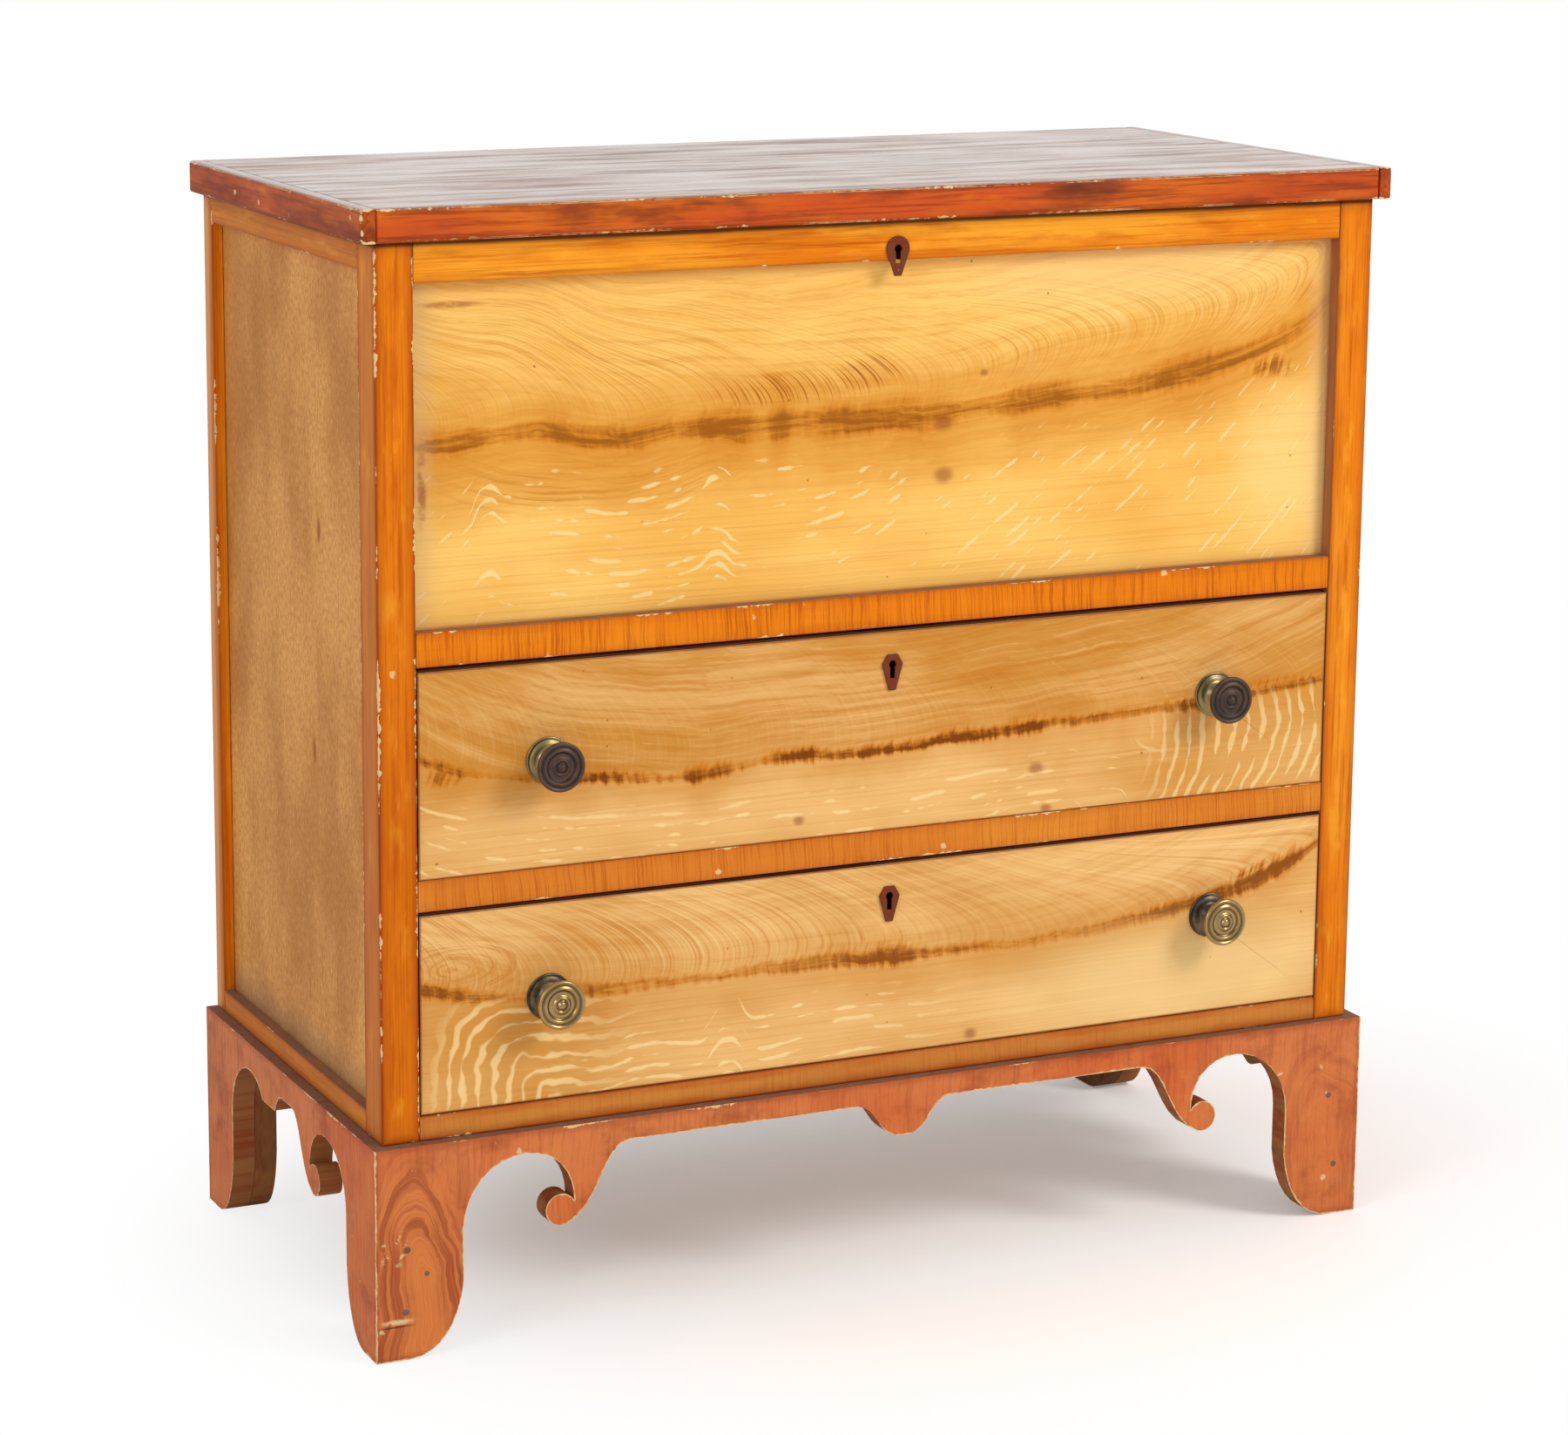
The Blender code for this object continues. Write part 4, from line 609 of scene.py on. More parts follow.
    # Pale flecks wiped out in rows below the band.
    offsets = [offset for _, offset in look["rows"]]
    floor, span = min(offsets), max(offsets) - min(offsets)
    points = [((px - left) / wide, (offset - floor) / span) for px, offset in look["rows"]]
    lie = (rise + wander * 0.013 - (f.curve(share, points) * span + floor)) * (1 / look["row_pitch"])
    row = f.math("FLOOR", lie)
    beads = f.noise(x * look["dash"], row * 3.71, seed + 15.3, 2.0, 0.6)
    group = f.noise(x * 6, z * 9, seed + 16.1, 2.0)
    away = abs(f.math("FRACT", lie) - 0.5)
    half = f.least((beads - look["sparse"] + (group - 0.5) * 0.25) * 2.2, 0.17)
    for hook in look["hooks"]:
        half = half + f.step(abs(x - hook - wander * 0.02), 0.020, 0.002) * 0.09
    end = look["fleck_end"]
    fleck = f.step(away - half, 0.05, -0.06)
    fleck = fleck * f.step(rise, -0.018, -0.040) * f.step(x, end + 0.10, end - 0.08)
    if "arch" in look:
        ax, az, pitch, reach = look["arch"]
        left_of = f.most(ax - x, 0.0)
        over = f.most(z - az, 0.0)
        ring = (left_of * left_of * left_of + over * over * over) ** (1 / 3)
        lines = f.math("FRACT", (ring + wander * 0.036) * (1 / pitch))
        thick = f.noise(x * 26, z * 26, seed + 11, 2.0)
        inside = f.step(ring, reach, reach * 0.75) * f.step(x, ax + 0.10, ax) * under
        stroke = abs(lines - 0.5) - f.least((thick - 0.35) * 1.1, 0.24)
        drawn = f.step(stroke, 0.07, -0.08) * inside
        f.lay(inside * 0.4, deep)
        fleck = f.most(fleck * f.step(x, ax - 0.02, ax + 0.06), drawn)
    if "waves" in look:
        start, pivot, curl, pitch = look["waves"]
        up_from = z - pivot
        march = x - up_from * 0.32 + up_from * up_from * curl + wander * 0.024
        lines = f.math("FRACT", march * (1 / pitch))
        thick = f.noise(x * 30, z * 34, seed + 12, 2.0)
        inside = f.step(x, start - 0.03, start + 0.02) * under
        stroke = abs(lines - 0.5) - f.least((thick - 0.38) * 1.1, 0.18)
        drawn = f.step(stroke, 0.04, -0.05) * inside
        f.lay(inside * 0.35, deep)
        fleck = f.most(fleck * (1 - inside), drawn)
    for px, pz, rx, rz, amount in look["pale"]:
        f.lay(f.spot(x, z, (px, pz), (rx, rz)) * amount, t.cream)
    f.lay(fleck * look["flecks"], t.cream)

    # Knots and specks.
    for kx, kz, radius in look["knots"]:
        knot = f.spot(x + wander * 0.008, z + wander * 0.008, (kx, kz), (radius * 1.4, radius * 1.1))
        f.lay(knot * 0.55, t.russet_deep)
    speck, chance = f.cells(x * 50, z * 50, seed + 20)
    f.lay(f.step(speck, 0.08, 0.04) * f.step(chance, 0.82, 0.86) * 0.6, t.umber)
    return line * 0.5 + thread * 0.5


def keyhole(f, name):
    """Painted shade inside a board's keyhole."""
    x, _, z = f.place()
    low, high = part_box("lid_escutcheon")
    inside = f.spot(x, z, ((low.x + high.x) / 2, KEYHOLES[name]), KEYHOLE_RADII)
    return f.step(inside, 0.0, 0.05)


def painted_front(name, t, look, ground, deep, box, seed, worn):
    """A front in painted oak, bare behind, with edges darkened partly by wear and partly by painted shade."""
    left, right, low, high = box
    f = Finish("oak_" + name)
    x, y, z = f.place()
    height = oak(f, t, look, ground, deep, left, right, low, high, seed)
    rim = f.least(f.least(x - left, right - x), f.least(z - low, high - z))
    rub = f.noise(x * 60, z * 60, seed + 15, 3.0, 0.6)
    # Painted shade: darker within 7 mm of the rim. Then a dark line along the rim, partly wear and partly
    # painted shade where the front meets the frame.
    f.lay(f.step(rim + (rub - 0.5) * 0.008, 0.007, 0.0) * 0.08, t.umber, "MULTIPLY")
    f.lay(f.step(rim, 0.0020, 0.0005) * worn, t.russet_deep)
    if name == "front_panel":
        ends = f.least(x - left, right - x)
        f.lay(f.step(ends + (rub - 0.5) * 0.02, 0.030, 0.004) * 0.4, t.bare)
        smear = f.spot(x, z + rub * 0.01, (-0.446, 0.775), (0.006, 0.05)) * f.step(rub, 0.35, 0.6)
        scrape = f.spot(x, z + (rub - 0.5) * 0.003, (-0.418, 0.9255), (0.040, 0.0045))
        scrape = scrape * f.step(rub, 0.3, 0.5)
        f.lay(f.most(smear, scrape) * 0.6, t.russet_deep)
    bare, _ = pine_grain(f, t, x, z, y)
    f.base = f.tint(f.step(-f.facing()[1], 0.25, 0.6), bare, f.base)
    # Painted shade in the gap round a drawer front, on the faces just behind its face.
    if name != "front_panel":
        gap_shade = f.step(rim, 0.0012, 0.0004) * f.step(y, FRONT + 0.0004, FRONT + 0.0012)
        gap_shade = gap_shade * f.step(y, FRONT + 0.007, FRONT + 0.004)
        f.lay(gap_shade * 0.85, t.lid_black)
    # Painted shade inside the keyhole.
    if name in KEYHOLES:
        f.lay(keyhole(f, name), t.lid_black, "MULTIPLY")
    return f.done(0.42 + rub * 0.16, height, 0.0003, specular=0.08)


def nicks(f, size, seed, rare):
    """Small chips scattered over a face."""
    x, y, z = f.place()
    ragged = f.grit(240)
    near, chance = f.cells(x / size, y / size, z / size + seed)
    return f.step(near + (ragged - 0.5) * 0.25, 0.13, 0.08) * f.step(chance, rare, rare + 0.02)


def amber_board(
    name, t, sizes, seed, light, red, chips,
    cross=0.0, brown=0.0, deep=0.0, bare_behind=None, dusty=False, pink=False,
):
    """Amber varnish on a post or rail: grain along it, and combing across it where cross is given."""
    low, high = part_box(name)
    f = Finish("amber_" + name)
    x, y, z = f.place()
    nx, ny, nz = f.facing()
    run, over, through = longest_first(f, low, high)
    wander = f.noise(run * 9 + seed, over * 30, through * 30, 3.0, 0.6) - 0.5
    wide = 6 if cross else 26
    broad = f.noise(run * 3.2 + seed, over * wide, through * wide, 3.0, 0.55)
    strayed = wander * 0.005
    grain = f.noise(run * 7 + seed, (over + strayed) * 230, (through + strayed) * 230, 4.0, 0.62)
    mottle = f.noise(run * 17 + seed, over * 60, through * 60, 3.0, 0.6)
    thin = f.step(broad, 0.62 - 0.5 * light, 0.92 - 0.5 * light) * (0.45 + light)
    f.base = f.tint(f.least(thin, 1.0), t.amber, t.amber_light)
    fine = f.noise(run * 5 + seed, over * 640, through * 640, 2.0, 0.6)
    along = 0.12 if cross else 1.0
    f.lay(f.step(grain, 0.46, 0.72) * 0.62 * along, t.amber_deep)
    f.lay(f.step(fine, 0.46, 0.70) * 0.36 * along, t.amber_deep)
    f.lay(f.step(mottle, 0.48, 0.76) * 0.42 * along, t.amber_deep)
    f.lay(f.step(mottle, 0.46, 0.28) * 0.6 * along, t.amber_light)
    f.lay(brown, t.sawn)
    f.lay(f.step(z, 0.85, 0.45) * deep, t.amber_deep)
    outside = f.step(abs(nx), 0.5, 0.9) * f.step(abs(x), 0.480, 0.490)
    f.lay(outside * (0.25 + mottle * 0.3), t.sawn)
    height = grain
    if cross:
        lean = run + (over + through) * 0.05 + wander * 0.006
        comb = f.noise(lean * 560, over * 12, through * 12 + seed, 3.0, 0.62)
        swell = f.noise(run * 14 + seed, over * 20, through * 20, 2.0)
        pressed = 0.55 + f.step(swell, 0.35, 0.65) * 0.45
        f.lay(f.step(comb, 0.44, 0.68) * pressed * cross, t.amber_deep)
        height = comb
    edge = f.edge(low, high)
    shadow = f.step(edge + (mottle - 0.5) * 0.014 + wander * 0.008, 0.010, 0.0)
    f.lay(shadow * red * 0.7, t.amber_deep)
    f.lay(f.step(edge + wander * 0.002, 0.0026, 0.0006) * red * 0.7, t.lid_red_deep)
    if pink:
        rear = f.step(y + wander * 0.004, high.y - 0.016, high.y - 0.011)
        f.lay(rear * 0.75, t.russet)
        f.lay(rear * 0.35, t.bare)
    f.lay(nicks(f, 0.028, seed, 0.80) * 0.8, t.bare)
    f.lay(chipped(f, edge, sizes.chip_depth, seed, chips) * 0.92, t.bare)
    rough = 0.36 + mottle * 0.2
    bare, _ = pine_grain(f, t, run, over, through)
    if bare_behind is not None:
        shown = f.step(y, FRONT + bare_behind, FRONT + bare_behind + 0.003)
        if high.z - low.z > LONG:
            shown = shown * (1 - outside)
            reveal = f.step(abs(nx), 0.5, 0.9) * f.step(abs(x), 0.470, 0.462)
            f.lay(reveal * (0.45 + mottle * 0.4), t.dust)
        f.lay(shown, bare)
    else:
        inner = f.step(nx * (1.0 if low.x < 0 else -1.0), 0.5, 0.9)
        groove = [abs(corner.x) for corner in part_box("side_panel_left")]
        within = f.step(abs(x), *groove)
        f.lay(f.most(inner, f.step(ny, 0.5, 0.9), f.step(-ny, 0.5, 0.9) * within), bare)
    if dusty:
        uneven = 0.5 + f.noise(x * 40, y * 40, seed, 3.0) * 0.6
        lying = f.step(nz, 0.6, 0.95) * f.step(y, high.y + 0.01, high.y) * uneven
        f.lay(lying, t.dust)
        rough = rough + lying * 0.4
    # Painted shade under the lid: darker towards the top, and a painted shadow line just below the lid's
    # strips. The top face, which the lid covers, is bare.
    if high.z > UNDER_LID:
        lid_shadow_line = f.step(z + wander * 0.002, high.z - 0.0135, high.z - 0.0100)
        lid_shadow_line = lid_shadow_line * f.step(z, high.z - 0.0070, high.z - 0.0090)
        f.lay(f.step(z, high.z - 0.026, high.z - 0.010) * 0.22, t.umber)
        f.lay(lid_shadow_line * 0.85, t.lid_black)
        f.lay(f.step(nz, 0.6, 0.9), f.tint(0.45 + mottle * 0.3, bare, t.sawn))
    # Painted shade inside the keyhole.
    if name in KEYHOLES:
        f.lay(keyhole(f, name), t.lid_black, "MULTIPLY")
    return f.done(rough, height, 0.00022, specular=0.06)


def khaki_panel(name, t, seed, knots):
    """A side panel: a fine speckle over tan, clouded, with long knots and dust at its foot."""
    low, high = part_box(name)
    f = Finish("khaki_" + name)
    x, y, z = f.place()
    wander = f.noise(y * 12, z * 5, seed, 3.0) - 0.5
    cloud = f.noise(y * 9, z * 4, seed + 1, 4.0, 0.6)
    speckle = f.noise(y * 330, z * 150, seed + 3, 3.0, 0.65)
    grain = f.noise((y + wander * 0.012) * 190, z * 12, seed + 2, 4.0, 0.65)
    height = (z - low.z) * (1 / (high.z - low.z))
    f.base = f.tint(f.step(cloud, 0.36, 0.66) * 0.6, t.khaki, t.khaki_deep)
    f.lay(f.step(speckle, 0.42, 0.66) * 0.50, t.khaki_deep)
    f.lay(f.step(grain, 0.5, 0.74) * 0.34 * (1.2 - height), t.khaki_deep)
    f.lay(f.step(speckle, 0.44, 0.30) * 0.3, t.tan)
    rear = f.step(y + wander * 0.05, high.y - 0.16, high.y - 0.02) * f.step(height, 0.35, 0.8)
    f.lay(rear * 0.35, t.khaki_deep)
    for ky, kz in knots:
        knot = f.spot(y + wander * 0.006, z, (ky, kz), (0.006, 0.017))
        f.lay(knot * 0.8, t.umber)
        halo = f.spot(y + wander * 0.01, z, (ky, kz), (0.020, 0.055))
        f.lay(halo * f.step(grain, 0.35, 0.6) * 0.35, t.comb_brown)
    f.lay(nicks(f, 0.05, seed, 0.82) * 0.6, t.bare)
    dust = f.step(z + wander * 0.03, low.z + 0.045, low.z + 0.008) * 0.45
    f.lay(dust, t.dust)
    bare, _ = pine_grain(f, t, z, y, x)
    outer = f.step(f.facing()[0] * (-1.0 if low.x < 0 else 1.0), 0.25, 0.6)
    f.base = f.tint(outer, bare, f.base)
    return f.done(0.5 + cloud * 0.12, speckle, 0.0003, specular=0.14)


def russet_board(name, t, sizes, seed, feet, chips):
    """The bracket base: upright combing, flamed ovals on the feet, chipped arrises and rough sawn edges."""
    low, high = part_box(name)
    f = Finish("russet_" + name)
    x, y, z = f.place()
    nx, ny, nz = f.facing()
    front = high.x - low.x > LONG
    run, out = (x, ny) if front else (y, nx)
    wander = f.noise(run * 14, z * 14, seed, 3.0, 0.6) - 0.5
    swing = f.noise(run * 6, z * 6, seed + 9, 2.0) - 0.5
    cloud = f.noise(run * 6, z * 8, seed + 1, 3.0)
    comb = f.noise((run + wander * 0.012) * 330, z * 15, seed + 2, 3.0, 0.62)
    rib = f.noise((run + wander * 0.03) * 40, z * 9, seed + 3, 4.0, 0.6)
    blush = f.noise(run * 17, z * 21, seed + 4, 4.0, 0.65)
    f.base = f.tint(f.step(cloud, 0.35, 0.68) * 0.5, t.russet, t.lid_red)
    f.lay(f.step(comb, 0.44, 0.72) * 0.36 + f.step(rib, 0.46, 0.74) * 0.25, t.russet_deep)
    f.lay(f.step(blush, 0.48, 0.72) * 0.58, t.russet_deep)
    f.lay(f.step(blush, 0.46, 0.28) * 0.55, t.flame)
    for middle, radii, strong in feet:
        across = (run - middle[0] + wander * 0.022 + swing * 0.06) / radii[0]
        above = f.most(z - middle[1] + wander * 0.03, 0.0)
        below = f.most(middle[1] - 0.06 - z, 0.0) * 0.6
        ring = f.away(across, (above + below) / radii[1])
        fine = hairs(f, ring + wander * 0.7, 0.15, z * 0.8, seed + 5)
        flow = f.noise(ring * 4.4 + wander * 1.5, z * 9, seed + 6, 4.0, 0.62)
        heart = f.step(ring + wander * 0.9 + (blush - 0.5) * 1.6, 1.4, 0.4)
        halo = f.step(ring + swing * 1.6 + (blush - 0.5) * 1.2, 3.3, 1.9)
        flame = f.tint(0.12 + f.step(flow, 0.40, 0.64) * 0.55, t.russet, t.russet_deep)
        flame = f.tint(fine * 0.55, flame, t.russet_deep)
        flame = f.tint(f.step(flow, 0.46, 0.36) * 0.5, flame, t.flame)
        flame = f.tint(heart * 0.75, flame, t.flame)
        flame = f.tint(heart * fine * 0.35, flame, t.lid_red)
        f.lay(halo * strong, flame)
    edge = f.edge(low, high)
    flat = f.step(abs(out), 0.90, 0.985)
    sawn = f.step(abs(out), 0.35, 0.12)
    top = f.step(nz, 0.7, 0.95) * f.step(z, high.z - 0.004, high.z - 0.001)
    rub = f.grit(130, 3.0, 0.6)
    stretch = f.noise(x * 21 + seed, y * 21, z * 21, 2.0)
    f.lay(f.step(edge + wander * 0.012, 0.008, 0.0) * 0.4, t.russet_deep)
    f.lay(nicks(f, 0.026, seed, 0.72) * 0.75, t.bare)
    f.lay(chipped(f, edge, sizes.chip_depth * 1.25, seed, chips) * 0.9, t.bare)
    rubbed = f.step(rub * 0.6 + stretch * 0.5, 0.48, 0.62)
    f.lay((1 - flat) * (1 - sawn) * rubbed * 0.8, t.bare)
    if front:
        scored = f.spot(x, z + (rub - 0.5) * 0.004, (-0.484, 0.036), (0.022, 0.0035))
        scuffed = f.spot(x + wander * 0.02, z, (-0.487, 0.102), (0.020, 0.022))
        f.lay(f.most(scored * f.step(rub, 0.34, 0.5), scuffed * f.step(rub, 0.54, 0.62)) * 0.9, t.bare)
        f.lay(f.spot(x, z, (-0.486, 0.0315), (0.024, 0.0012)) * 0.8, t.lid_black)
    saw = f.noise(run * 60, z * 60, y * 20 + seed, 4.0, 0.7)
    cut = f.tint(0.35 + f.step(saw, 0.38, 0.68) * 0.5, t.sawn, t.russet_deep)
    cut = f.tint(f.step(stretch, 0.54, 0.76) * 0.4, cut, t.lid_black)
    f.lay(sawn, cut)
    grey = f.tint(f.step(rub, 0.35, 0.7) * 0.6, t.dust, t.russet_deep)
    f.lay(top * 0.8, grey)
    bare, _ = pine_grain(f, t, run, z, y if front else x)
    inside = f.step(out * (1.0 if front or low.x < 0 else -1.0), 0.5, 0.9)
    f.lay(inside, f.tint(0.5, bare, t.pine_deep))
    rough = 0.42 + rub * 0.14 + sawn * 0.25
    return f.done(rough, comb * (1 - sawn) + saw * sawn, 0.0003, specular=0.16)


def sawn_block(name, t, grime_and_shade):
    """A rough block behind a rear foot, darkened with painted shade."""
    low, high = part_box(name)
    f = Finish("sawn_" + name)
    x, y, z = f.place()
    saw = f.noise(x * 70, y * 70, z * 18, 4.0, 0.7)
    age = f.grit(14, 3.0)
    f.base = f.tint(0.35 + f.step(saw, 0.38, 0.70) * 0.5, t.sawn, t.russet_deep)
    # Dark patches of age, and painted shade laid evenly over the block.
    f.lay(f.step(age, 0.42, 0.75) * 0.25 + grime_and_shade, t.lid_black)
    f.lay(f.step(f.edge(low, high), 0.003, 0.0) * 0.5, t.lid_black)
    return f.done(0.7 + age * 0.15, saw, 0.0005, specular=0.12)


def bare_wood(name, t):
    """Pale wood where paint has gone."""
    f = Finish(name)
    grain = f.grit(170, 3.0)
    f.base = f.tint(f.step(grain, 0.35, 0.7) * 0.5, t.bare, t.sawn)
    return f.done(0.6 + grain * 0.2, grain, 0.0002, specular=0.12)


def lid_strip(name, t, sizes, seed):
    """An edge strip of the lid: red varnish with soft long streaks, dark stains and a chipped arris."""
    low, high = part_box(name)
    f = Finish("red_" + name)
    x, y, z = f.place()
    run, over, through = longest_first(f, low, high)
    wander = f.noise(run * 8 + seed, over * 30, through * 30, 3.0) - 0.5
    broad = f.noise(run * 3 + seed, over * 20, through * 20, 3.0)
    strayed = wander * 0.006
    grain = f.noise(run * 8 + seed, (over + strayed) * 240, (through + strayed) * 240, 4.0, 0.62)
    stain = f.noise(run * 9 + seed, over * 30, through * 30, 4.0, 0.6)
    f.base = f.tint(f.step(broad, 0.36, 0.66) * 0.5, t.lid_red, t.amber)
    f.lay(f.step(grain, 0.46, 0.66) * 0.7, t.lid_red_deep)
    f.lay(f.step(stain, 0.46, 0.68) * 0.8, t.lid_red_deep)
    f.lay(f.step(stain, 0.44, 0.28) * 0.4, t.amber)
    if high.x - low.x > LONG:
        blot = f.spot(x + wander * 0.03, z, (0.19, 1.006), (0.05, 0.014))
        f.lay(blot * 0.55, t.lid_black)
        f.lay(f.step(x, 0.10, 0.45) * 0.15, t.lid_red_deep)
    else:
        f.lay(f.step(stain, 0.25, 0.6) * 0.55, t.lid_red_deep)
    edge = f.edge((CAD_BOX[0][0], low.y, low.z), (CAD_BOX[1][0], CAD_BOX[1][1], high.z))
    above = f.step(f.facing()[2], 0.6, 0.9)
    worn = f.tint(f.step(grain, 0.42, 0.68) * 0.6, t.lid_brown, t.lid_black)
    f.lay(above * f.step(edge, 0.0003, 0.0014), worn)
    f.lay(f.step(edge + wander * 0.006, 0.006, 0.0) * (1 - above) * 0.4, t.lid_red_deep)
    f.lay(nicks(f, 0.024, seed, 0.8) * 0.8, t.bare)
    f.lay(chipped(f, edge, sizes.chip_depth, seed, 0.75) * 0.92, t.bare)
    if low.x < 0:
        corner = f.spot(x, y, (CAD_BOX[0][0], CAD_BOX[0][1]), (0.14, 0.10))
        f.lay(chipped(f, edge, sizes.chip_depth * 1.1, seed + 40, 1.1) * corner, t.bare)
    rough = 0.36 + stain * 0.2 - above * 0.16
    coat = above * (0.75 - stain * 0.4)
    return f.done(rough, grain, 0.00025, specular=0.14, coat=coat, coat_rough=LID_COAT_ROUGH)


def lid_top(name, t):
    """The lid's board: worn dark varnish above, bare pine below."""
    low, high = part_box(name)
    f = Finish("worn_" + name)
    x, y, z = f.place()
    wander = f.noise(x * 5, y * 14, 1.0, 3.0) - 0.5
    streak = f.noise(x * 4.5, (y + wander * 0.03) * 46, 2.0, 6.0, 0.66)
    fibre = f.noise(x * 14, y * 380, 3.0, 3.0)
    worn = f.noise(x * 5, y * 9, 4.0, 4.0, 0.6)
    rings = f.noise(x * 26, y * 26, 5.0, 3.0)
    f.base = f.tint(f.step(streak, 0.42, 0.74) * 0.66, t.lid_brown, t.lid_black)
    f.lay(f.step(worn, 0.46, 0.72) * 0.45, t.pine_deep)
    f.lay(f.step(fibre, 0.5, 0.75) * 0.4, t.lid_black)
    seam = f.least(x - low.x, high.x - x)
    f.lay(f.step(seam, 0.0035, 0.001), t.lid_black)
    bare, _ = pine_grain(f, t, x, y, z)
    below = f.step(f.facing()[2], 0.2, -0.4)
    f.lay(below, bare)
    dull = f.step(streak * 0.75 + worn * 0.35, 0.44, 0.76)
    rough = 0.20 + dull * 0.30 + below * 0.3
    coat = (1 - below) * (0.58 - dull * 0.45)
    height = streak * 0.5 + fibre * 0.3 + rings * 0.2
    return f.done(rough, height, 0.0003, specular=0.4, coat=coat, coat_rough=LID_COAT_ROUGH)


def old_metal(name, bright, dull, rough, metal, rings=None, specular=0.5):
    """Brass or iron with a patchy skin; rings gives the middle of a turned face and its dark grooves."""
    f = Finish(name)
    x, y, z = f.place()
    skin = f.grit(160, 4.0, 0.65)
    patch = f.grit(45, 3.0, 0.6)
    scratch = f.noise(x * 900, y * 300, z * 900, 2.0)
    f.base = f.tint(f.step(patch, 0.42, 0.68) * 0.6 + f.step(skin, 0.55, 0.75) * 0.3, bright, dull)
    if rings:
        middle_x, middle_z, grooves = rings
        out = f.away(abs(x) - middle_x, z - middle_z)
        for radius, half in grooves:
            f.lay(f.step(abs(out - radius), half, half * 0.3) * 0.75, dull, "MULTIPLY")
    return f.done(rough + patch * 0.18 + scratch * 0.05, skin, 0.00012, specular, metal)


# ---------------------------------------------------------------- pieces

SHARP_TURN = math.radians(38)  # a sharper turn keeps its arris in the shading
ROUNDED_TURN = math.radians(40)  # a sharper turn is rounded a little
SAME_PLACE = 0.00001  # corners nearer than this are one
SLIVER_STEP = 0.0015  # how closely a worn outline is followed
LEAST_SLIVER = 0.00015  # a narrower sliver is left out
SLIVER_LIFT = 0.00008  # how far a sliver stands in front of its face
SLIVER_LAP = 0.00006  # how far a sliver stands past its outline


def dress(name, material):
    """Gives a frame node its finish."""
    materials = frame["nodes"][name].data.materials
    materials.clear()
    materials.append(material)


def smooth_curves():
    """The node group that shades gentle turns smooth and keeps true arrises sharp, made on its first use."""
    if "smooth_curves" in bpy.data.node_groups:
        return bpy.data.node_groups["smooth_curves"]
    tree = bpy.data.node_groups.new("smooth_curves", "GeometryNodeTree")
    for way in ("INPUT", "OUTPUT"):
        tree.interface.new_socket("Geometry", in_out=way, socket_type="NodeSocketGeometry")
    start = tree.nodes.new("NodeGroupInput")
    strip = tree.nodes.new("GeometryNodeRemoveAttribute")
    strip.inputs["Name"].default_value = "custom_normal"
    whole = tree.nodes.new("GeometryNodeSetShadeSmooth")
    angle = tree.nodes.new("GeometryNodeInputMeshEdgeAngle")
    gentle = tree.nodes.new("FunctionNodeCompare")
    gentle.data_type = "FLOAT"
    gentle.operation = "LESS_THAN"
    gentle.inputs[1].default_value = SHARP_TURN
    edges = tree.nodes.new("GeometryNodeSetShadeSmooth")
    edges.domain = "EDGE"
    end = tree.nodes.new("NodeGroupOutput")
    link = tree.links.new
    link(start.outputs[0], strip.inputs["Geometry"])
    link(strip.outputs[0], whole.inputs["Geometry"])
    link(whole.outputs[0], edges.inputs["Geometry"])
    link(angle.outputs["Unsigned Angle"], gentle.inputs[0])
    link(gentle.outputs[0], edges.inputs["Shade Smooth"])
    link(edges.outputs[0], end.inputs[0])
    return tree


def soften(name, width, clamp=False):
    """Rounds a frame node's arrises a little, as use does."""
    modifiers = frame["nodes"][name].modifiers
    modifiers.new("weld", "WELD").merge_threshold = SAME_PLACE
    bevel = modifiers.new("arris", "BEVEL")
    bevel.width = width
    bevel.segments = 2
    bevel.limit_method = "ANGLE"
    bevel.angle_limit = ROUNDED_TURN
    bevel.use_clamp_overlap = clamp
    modifiers.new("shade", "NODES").node_group = smooth_curves()
    modifiers.new("weigh", "WEIGHTED_NORMAL").keep_sharp = True


def new_piece(name, shape, materials, body, slot):
    """A loose piece in the given shape, riding on a body and finished with the given materials; the slot is not
    used.
    """
    mesh = bpy.data.meshes.new(name)
    shape.to_mesh(mesh)
    shape.free()
    for material in materials:
        mesh.materials.append(material)
    piece = bpy.data.objects.new(name, mesh)
    bpy.context.scene.collection.objects.link(piece)
    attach(piece, body)
    return piece


def turned(profile, middle, steps, split=math.inf):
    """Turns a profile of (radius, distance in front) about a line along Y; finish 1 starts at split."""
    shape = bmesh.new()

    def ring(radius, ahead):
        angles = [math.tau * k / steps for k in range(steps if radius else 1)]
        offsets = [(radius * math.cos(a), -ahead, radius * math.sin(a)) for a in angles]
        return [shape.verts.new((middle.x + x, middle.y + y, middle.z + z)) for x, y, z in offsets]

    rings = [ring(*point) for point in profile]
    for number, (inner, outer) in enumerate(zip(rings, rings[1:])):
        for k in range(steps):
            a, b = inner[k % len(inner)], inner[(k + 1) % len(inner)]
            c, d = outer[(k + 1) % len(outer)], outer[k % len(outer)]
            face = shape.faces.new(dict.fromkeys((a, b, c, d)))
            face.smooth = True
            face.material_index = int(number >= split)
    bmesh.ops.recalc_face_normals(shape, faces=shape.faces)
    return shape


